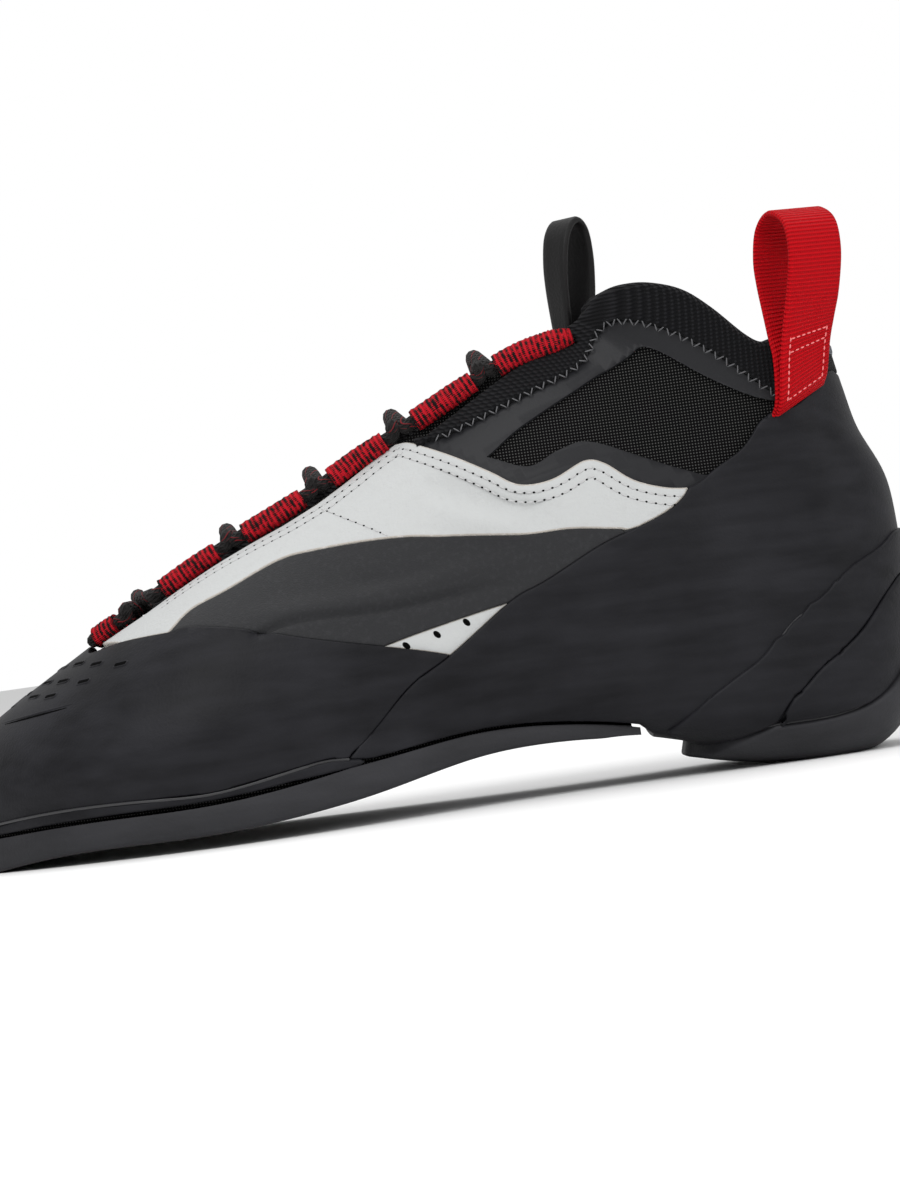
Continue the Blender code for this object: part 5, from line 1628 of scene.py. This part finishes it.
@dataclass
class Outsole:
    """The flat sheet of sole rubber, thick under the toes and thin under the arch."""

    sizes: ShoeSizes = SIZES
    thins_from: float = 7.4
    flat_to: float = 1.6
    end_run: float = 0.5
    end_loss: float = 0.7

    def edge_at(self, station: float, side: int) -> np.ndarray:
        """Plan position of the sole's edge, flush with the rand."""
        girth = LAST.outer if side < 0 else LAST.inner

        def plan(s: float) -> np.ndarray:
            return np.array([float(LAST.sole_x(s)),
                             float(LAST.spine(s) + side * girth(s) * (1 - LAST.tuck(s)))])

        step = 0.05
        edge = plan(station + step) - plan(max(0.0, station - step))
        outward = np.array([-edge[1], edge[0]]) * side
        return plan(station) + unit(outward) * (self.sizes.gap + self.sizes.rand)

    def ring(self, s: float) -> list[np.ndarray]:
        """The sole's section at a station, from the outer lip under to the inner lip."""
        z = self.sizes
        taper = min(1.0, max(0.0, (s - self.thins_from) / (OUTSOLE_BACK - self.thins_from)))
        thick = z.outsole + (z.outsole_end - z.outsole) * taper * taper * (3 - 2 * taper)
        thick *= 1 - self.end_loss * min(1.0, max(0.0, (s - OUTSOLE_BACK + self.end_run) / self.end_run))
        top = float(LAST.sole_z(max(s, self.flat_to))) - z.gap
        low = max(0.0, top - thick)
        low = 0.0 if low < z.flat_bite else low - z.flat_bite * 0.5
        bevel = min(z.outsole_bevel, thick * 0.35)
        edges = [self.edge_at(s, side) for side in (-1, 1)]
        start = low_place(s) + LIP_STEP
        if s >= 2:
            edges = [LAST.lift(s, side * start, np.array(z.gap + z.rand))[:2] for side in (-1, 1)]
        across = unit(edges[1] - edges[0])
        half = {}

        def at(plan: np.ndarray, height: float) -> np.ndarray:
            return np.array([*plan, height])

        for side, edge in zip((-1, 1), edges):
            inward = -across * side
            lip = float(LAST.lift(max(s, 2.0), side * start, np.array(z.gap + z.rand))[2])
            half[side] = [at(edge + inward * 0.0009, top), at(edge + inward * 0.0003, lip),
                          at(edge, lip - 0.0004)]
            half[side] += [at(edge + inward * (bevel * (1 - math.cos(a))), low + bevel * (1 - math.sin(a)))
                           for a in (0.0, 0.4, 0.8, 1.2, QUARTER)]
        width = float(np.linalg.norm(edges[1] - edges[0])) - 2 * bevel
        bottom = [at(edges[0] + across * (bevel + width * k / 12), low) for k in range(1, 12)]
        roof = [at(edges[0] + across * (bevel + width * k / 6), top) for k in range(5, 0, -1)]
        return half[-1] + bottom + half[1][::-1] + roof

    def build(self) -> None:
        """Builds the sole by extruding its first section along the foot."""
        stations = np.concatenate([[0.1, 0.2, 0.35, 0.5, 0.75], np.linspace(1, OUTSOLE_BACK, 111)])
        bm = bmesh.new()
        loop, edges = first_ring(bm, self.ring(stations[0]))
        bmesh.ops.contextual_create(bm, geom=edges)
        for s in stations[1:]:
            loop, edges, _ = next_ring(bm, loop, edges)
            for v, place in zip(loop, self.ring(float(s))):
                v.co = Vector(place)
        bmesh.ops.contextual_create(bm, geom=edges)
        bmesh.ops.recalc_face_normals(bm, faces=bm.faces)
        added("outsole_sheet", bm, (SOLE_RUBBER,), ("outsole",), 50.0)


@dataclass
class Eyestay:
    """One side's pale leather, dark band, perforated corner and window frame."""

    side: Side
    sizes: ShoeSizes = SIZES
    peak: tuple[Spot, ...] = ((9.0, 0.92), (9.4, 0.75))
    rows: Spot = (0.0022, 0.0044)
    seam: tuple[Spot, ...] = ((-114.2, 75.6), (-108.0, 72.2), (-99.0, 66.9))
    holes: tuple[Spot, ...] = ((-98.6, 40.9), (-91.0, 42.5), (-83.6, 44.4))

    def top_edge(self, stations: Iterable[float]) -> Line:
        """The leather's top edge: along the tunnels, over the peak and down the wave."""
        way, width = self.side.value, self.sizes.tunnel_width
        line = throat_edge(stations, way, width + self.sizes.gap)
        for station, share in self.peak:
            line += throat_edge((station,), way, width * share)
        return line + side_line(LEATHER_WAVE, way)

    def leather(self) -> None:
        """The pale panel below the tunnels, with its double stitch row."""
        way, tag, s = self.side.value, self.side.tag, self.sizes
        outline = self.top_edge((5.3, 5.6, 6, 6.5, 7, 7.5, 8, 8.5)) + stretch(HEEL_FRONT, way, 7, 6)[1:]
        outline += stretch(LEATHER_LOW, way, 1, 11)[1:] + stretch(TOE_TOP, way, 4, 2)[1:]
        height = s.gap + s.leather
        Panel(f"eyestay_leather_{tag}", outline, height, (PALE, CUT_EDGE), (f"eyestay_{tag}",),
              edge=0.00045, folds=FOLDS, fine=2, border_finish=1).build()
        top = self.top_edge(np.linspace(5.7, 8.6, 12))
        rows = [(over(part_of(beside(top, way * d, way), 0.02, 0.985), height), OUTWARD[way])
                for d in self.rows]
        seam = [LAST.spot(x * MM, z * MM, way) for x, z in self.seam]
        rows.append((over(smooth(seam, 8), height), OUTWARD[way]))
        Stitches(f"eyestay_thread_{tag}", THREAD_PALE, thick=0.00045, holes=True).build(rows)

    def band(self) -> None:
        """The dark band."""
        way, tag, s = self.side.value, self.side.tag, self.sizes
        outline = stretch(LEATHER_LOW, way, 11, 1) + stretch(HEEL_FRONT, way, 6, 3)[1:]
        outline += stretch(BAND_LOW, way, 2, 0)[1:] + stretch(TOE_BACK, way, 4, 0)[1:-1]
        Panel(f"side_band_{tag}", outline, s.gap + s.band, (MICROFIBRE,), (f"band_{tag}",), edge=0.0004,
              folds=FOLDS, fine=4).build()

    def corner(self) -> None:
        """The pale perforated corner under the band."""
        way, tag, s = self.side.value, self.side.tag, self.sizes
        outline = side_line(BAND_LOW, way) + stretch(HEEL_FRONT, way, 3, 2)[1:]
        outline += stretch(TOE_BACK, way, 5, 4)[1:-1]
        Panel(f"side_corner_{tag}", outline, s.gap + s.film, (PALE, CUT_EDGE),
              (f"side_window_{tag}",), edge=0.0003, border_finish=1).build()
        bm = bmesh.new()
        for x, z in self.holes:
            spot = LAST.spot(x * MM, z * MM, way)
            normal = LAST.normal(*spot)
            along = unit(np.cross(np.array([0.0, 1.0, 0.0]), normal))
            bead(bm, LAST.lift(*spot, np.array(s.gap + s.film)),
                 (along * 0.0011, np.cross(normal, along) * 0.0007, normal * 0.0002), 14, 6)
        added(f"side_corner_holes_{tag}", bm, (SHADE,))

    def frame(self) -> None:
        """The smooth overlay round the mesh window."""
        way, tag, s = self.side.value, self.side.tag, self.sizes
        knit = side_line(KNIT_LOW, way)
        split = min(range(len(knit)), key=lambda k: abs(knit[k][0] - KNIT_LOW[1][0]))
        above = knit[split:] + side_line(WINDOW_TOP, way)[::-1]
        below = knit[:split + 1] + side_line(WINDOW_LOW, way) + stretch(HEEL_TOP, way, 5, 0)
        below += [spot for spot in side_line(LEATHER_WAVE, way)[-2:0:-1] if spot[0] > KNIT_LOW[0][0]]
        Panel(f"window_film_{tag}", above, s.gap + s.film, (SMOOTH,), (f"window_frame_{tag}",),
              below, edge=0.0).build()

    def build(self) -> None:
        """Builds this side's panels."""
        self.leather()
        self.band()
        self.corner()
        self.frame()


@dataclass
class Collar:
    """The knitted binding round the collar and down the throat, with its zigzag seam."""

    sizes: ShoeSizes = SIZES
    zigzag_pitch: float = 0.0016
    zigzag_reach: float = 0.0012
    thread: float = 0.0002

    def edge_line(self) -> Line:
        """The binding's upper edge on the inner side, from the throat to the heel's back."""
        s = self.sizes
        stations = (9.95, 10.1, 10.5, 11, 11.5, 12, 12.5, 13, 13.5, 14, FREE_KNIT)
        edge = throat_edge(stations, 1, s.tunnel_width * 0.6)
        return edge + throat_edge((FREE_KNIT + 0.5, 16, 17, 18), 1) + side_line(RIM, 1)

    def build(self) -> None:
        """Builds the binding, the rolled rim and the seam."""
        s = self.sizes
        edge = self.edge_line()
        low = side_line(KNIT_LOW, 1) + stretch(HEEL_TOP, 1, 5, 7)[1:]
        outline = edge + past_sole(edge[:-1]) + past_sole(low)[::-1] + low[-2::-1]
        height = s.gap + s.knit
        Panel("collar_knit", outline, height, (KNITTED,), ("collar_binding",), edge=0.0009).build()
        rim = side_line(RIM, 1)
        whole = rim + past_sole(rim[:-1])
        path = over(whole, 0.0)
        spots = np.array(whole)
        normals = LAST.normal(spots[:, 0], spots[:, 1])
        frames = square_to(path, list(normals))
        thick = height + s.wall
        sunk = [(centre + up * (height - s.wall) / 2, across, up) for centre, across, up in frames]
        Sweep("collar_roll", (KNITTED,)).build(sunk, oval(thick * 0.9, thick, 16))
        back = [k for k, (_, place) in enumerate(whole) if 0.80 < place < 1.20]
        sizes = [1.0 + 0.22 * math.sin(math.pi * k / (len(back) - 1)) ** 0.5 for k in range(len(back))]
        pad = oval(thick, thick * 1.05, 20)
        Sweep("collar_back_roll", (PAD,)).build([sunk[k] for k in back], pad, sizes)
        for side in Side:
            line = side_line(KNIT_LOW, side.value)
            self.zigzag(f"collar_zigzag_{side.tag}", part_of(line, 0.05, 0.97), side.value)

    def zigzag(self, name: str, line: Line, side: int) -> None:
        """The stretch seam along the binding's lower edge."""
        path = over(line, self.sizes.gap + self.sizes.knit * 0.75)
        bm = bmesh.new()
        corners = []
        for k, (centre, way) in enumerate(spaced(path, self.zigzag_pitch)):
            up = OUTWARD[side](centre)
            reach = self.zigzag_reach if k % 2 else -self.zigzag_reach
            corners.append((centre + np.cross(up, way) * reach + up * self.thread, up))
        for (a, up), (b, _) in zip(corners, corners[1:]):
            way = unit(b - a)
            across = unit(np.cross(up, way))
            bead(bm, (a + b) / 2, (across * self.thread, way * np.linalg.norm(b - a) * 0.52,
                                   np.cross(way, across) * self.thread), 6, 4)
        added(name, bm, (THREAD_GREY,))


@dataclass
class Lacing:
    """Folded tape tunnels along the throat and the lace that runs through them."""

    sizes: ShoeSizes = SIZES
    turns: int = 16
    flat_base: float = 0.9
    taper: Spot = (0.38, 0.08)
    clear: float = 0.14
    rise: float = 0.0014

    def tunnels(self) -> None:
        """The six tunnels of each side, hollow from end to end."""
        s = self.sizes
        wall = 2 * s.tunnel_wall
        skin = oval(s.tunnel_width, s.tunnel_height, self.turns, self.flat_base)
        bore = oval(s.tunnel_width - wall, s.tunnel_height - wall, self.turns, self.flat_base)
        high = s.gap + s.tunnel_height / 2
        for side in Side:
            for number, (first, last) in enumerate(TUNNELS, 1):
                count = 8 + round((last - first) * 12)
                path, ups = zip(*[over_throat(first + (last - first) * k / count, side.value, high)
                                  for k in range(count + 1)])
                slim = self.taper[0] if number == len(TUNNELS) else self.taper[1]
                bulge = [1 + 0.05 * math.sin(2.6 * k + number) - slim * max(0.0, k / count - 0.6) / 0.4
                         for k in range(count + 1)]
                place = f"{side.tag}_{number}"
                Sweep(f"tape_tunnel_{place}", (TUNNEL_TAPE, BLACK_TAPE), (f"lace_tunnel_{place}",)).build(
                    square_to(path, ups), skin, bulge, bore)

    def stops(self, start: int) -> list[tuple[np.ndarray, np.ndarray]]:
        """One lace end's way from the toe bar to its top tunnel.

        Args:
            start: the side it starts towards.

        Returns:
            Points and outward directions.
        """
        s = self.sizes
        high = s.gap + s.tunnel_height / 2
        side = start
        first = TUNNELS[0][0] - 0.07
        stops = [(5.22, 0.0, high - 0.0005), (5.22, 0.7 * side, high - 0.0003), (first, side, high)]
        for k, (low, up) in enumerate(TUNNELS):
            reach = 0.6 if k == len(TUNNELS) - 1 else 1.0
            stops += [(low + (up - low) * f * reach, side, high) for f in (0.0, 0.35, 0.7, 1.0)]
            if k == len(TUNNELS) - 1:
                break
            out, into = up + self.clear, TUNNELS[k + 1][0] - self.clear
            middle = (out + into) / 2
            rest = s.lace / 2 - s.wall + s.gap / 2 + self.rise
            over_it = s.lace * 0.9 if (k % 2 == 0) == (start > 0) else 0.0
            stops += [(out, side, high + 0.0002), (out + 0.06, 0.88 * side, high + s.lace * 0.4),
                      (middle - 0.03, 0.45 * side, s.lace * 0.5 + over_it * 0.6),
                      (middle, 0.0, rest + over_it),
                      (middle + 0.03, -0.45 * side, s.lace * 0.45 + over_it * 0.6),
                      (into - 0.03, -0.88 * side, high + s.lace * 0.1), (into, -side, high)]
            side = -side
        return [over_throat(*stop) for stop in stops]

    def laces(self) -> None:
        """Both lace ends, joined at the toe bar."""
        s = self.sizes
        crossings = [f"lace_crossing_{k}" for k in range(1, 6)]
        for name, start, nodes in (("lace_first", 1, ["lace_toe_bar"]), ("lace_second", -1, crossings)):
            points, ups = zip(*self.stops(start))
            frames = square_to(smooth(points, 4), smooth(ups, 4))
            Sweep(name, (LACING,), tuple(nodes)).build(frames, oval(s.lace, s.lace * 0.92, 10))

    def build(self) -> None:
        """Builds the tunnels and the lace."""
        self.tunnels()
        self.laces()


@dataclass
class Tongue:
    """The padded tongue and its small black loop."""

    sizes: ShoeSizes = SIZES
    bulge: float = 0.0031
    loop_stations: Spot = (14.6, 18.8)
    loop_turn: float = 50.0
    loop_twist: Spot = (28.0, 66.0)
    loop_shape: tuple[Spot, ...] = ((-0.62, -0.2), (-0.86, 0.1), (-1.0, 0.35), (-1.0, 0.6), (-0.72, 0.86),
                                    (0.0, 1.0), (0.72, 0.90), (1.0, 0.64), (0.96, 0.35), (0.80, 0.1),
                                    (0.7, -0.2))

    def build(self) -> None:
        """Builds the tongue and the loop."""
        s = self.sizes
        stations = (4.7, 5.2, 6, 7, 8, 9, 10, 11, 12, 13, 15, 17, 19, 20.5)
        half = [(a, LAST.place_at_width(a, s.tongue_width / 2 * min(1.0, 0.45 + (a - 4.7) * 0.4), 1))
                for a in stations]
        outline = half + [(a, -p) for a, p in reversed(half)]
        top = -s.wall - s.gap

        def height(a: np.ndarray, p: np.ndarray) -> np.ndarray:
            share = LAST.profile(a, p)[0] / (s.throat_width * 0.55)
            along_it = np.clip((a - 5.3) / 0.8, 0, 1) * np.clip((14.2 - a) / 1.5, 0, 1)
            return top + self.bulge * np.clip(1 - share ** 2, 0, 1) * along_it

        Panel("tongue_pad", outline, height, (KNITTED,), ("tongue",), edge=0.0011,
              base=top - s.tongue).build()
        Lining("tongue_back", outline, top - s.tongue, (LINING,), edge=0.0).build()
        self.loop()

    def loop(self) -> None:
        """The tall narrow loop of black tape."""
        s = self.sizes
        front, back = (LAST.point(a, 0.0) for a in self.loop_stations)
        centre = (front + back) / 2 + np.array([0.001, 0.0, 0.0])
        turn = math.radians(self.loop_turn)
        apart = np.array([math.cos(turn), math.sin(turn), 0.0])
        half, tall = s.tongue_loop_width / 2, s.tongue_loop_height
        lean = np.array([0.08, 0.0, 1.0])
        path = smooth([centre + apart * out * half + lean * up * tall for out, up in self.loop_shape], 8)
        first, last = self.loop_twist
        frames = []
        for k, (place, _, out) in enumerate(tape_frames(path, level_across(turn))):
            twist = math.radians(first + (last - first) * k / (len(path) - 1))
            frames.append((place, level_across(twist), out))
        Sweep("tongue_loop_tape", (STRAP,), ("tongue_pull_loop",)).build(
            frames, strip(s.tongue_loop_gap, s.tongue_loop_tape))


def level_across(turn: float) -> np.ndarray:
    """The level direction at a turn from the shoe's width."""
    return np.array([-math.sin(turn), math.cos(turn), 0.0])


def tape_frames(path: Sequence[np.ndarray], across: np.ndarray) -> list[Frame]:
    """Frames for tape whose width always runs along one direction."""
    frames = []
    for k, centre in enumerate(path):
        frames.append((centre, across, unit(np.cross(heading(path, k), across))))
    return frames


@dataclass
class HeelLoop:
    """Woven tape folded to a tall loop on the collar's outer back corner."""

    sizes: ShoeSizes = SIZES
    slant: float = 0.45
    foot: Spot = (20.75, 0.213)
    lean: float = 0.10
    shape: tuple[Spot, ...] = ((-0.42, -0.12), (-0.10, -0.04), (-0.02, 0.17), (-0.28, 0.32), (-0.70, 0.58),
                               (-0.83, 0.75), (-0.60, 0.92), (0.0, 1.0), (0.75, 0.92), (1.02, 0.75),
                               (0.85, 0.55), (0.42, 0.32), (0.16, 0.17), (-0.10, -0.04), (-0.42, -0.12))
    box: float = 0.36
    held: tuple[int, int] = (-28, -7)

    def build(self) -> None:
        """Builds the tape and the thread that holds it."""
        s = self.sizes
        station, height = self.foot
        place = -LAST.place_at_height(station, height)
        normal = LAST.normal(station, place)
        flat = np.array([normal[0], normal[1], 0.0]) / math.hypot(normal[0], normal[1])
        along = np.array([-flat[1], flat[0], 0.0])
        foot = LAST.point(station, place) + normal * (2 * s.gap + s.knit + s.tape * 0.9)
        gap, tall, leg = s.heel_loop_gap / 2, s.heel_loop_height, s.tape + s.gap
        points = []
        for k, (out, up) in enumerate(self.shape):
            shift = leg if k > 7 else (leg / 2 if k == 7 else 0.0)
            lean = along * (self.lean * max(0.0, up) * tall)
            points.append(foot + flat * (out * gap + shift) + lean + np.array([0, 0, up * tall]))
        path = smooth(points, 10)
        frames = []
        for centre, across, out in tape_frames(path, along):
            near = max(0.0, 1 - max(0.0, centre[2] - foot[2]) / (0.45 * tall))
            frames.append((centre, across + np.array([0, 0, self.slant * near]), out))
        Sweep("heel_loop_tape", (LOOP_TAPE,), ("heel_pull_loop",)).build(frames, strip(s.tape_width, s.tape))
        self.thread(frames, flat)

    def thread(self, frames: Sequence[Frame], flat: np.ndarray) -> None:
        """The stitched box over both legs, on the outer face."""
        s = self.sizes
        legs = frames[slice(*self.held)]
        out = flat * (s.tape / 2 + 0.0001)

        def row(parts: Sequence[Frame], shares: Sequence[float]) -> list[np.ndarray]:
            return [c + a * share * s.tape_width + out for (c, a, _), share in zip(parts, shares)]

        rows = [(row(legs, [share] * len(legs)), lambda _: flat) for share in (-self.box, self.box)]
        rows += [(row([legs[k]] * 3, (-self.box, 0.0, self.box)), lambda _: flat) for k in (1, 6, -2)]
        Stitches("heel_loop_thread", THREAD_PINK, 0.0016, 0.00042).build(rows)


def main() -> None:
    """Builds the scene, from the camera to the last stitch."""
    logging.basicConfig(level=logging.INFO, format="%(message)s")
    Camera().build()
    Studio().build()
    Shell().build()
    ToeBox().build()
    HeelWrap().build()
    Outsole().build()
    for side in Side:
        Eyestay(side).build()
    Collar().build()
    Tongue().build()
    Lacing().build()
    HeelLoop().build()
    boxes = {"cad": CAD_BOX, "visual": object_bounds()}
    {name: [list(corner) for corner in box] for name, box in boxes.items()}


if __name__ == "__main__":
    main()
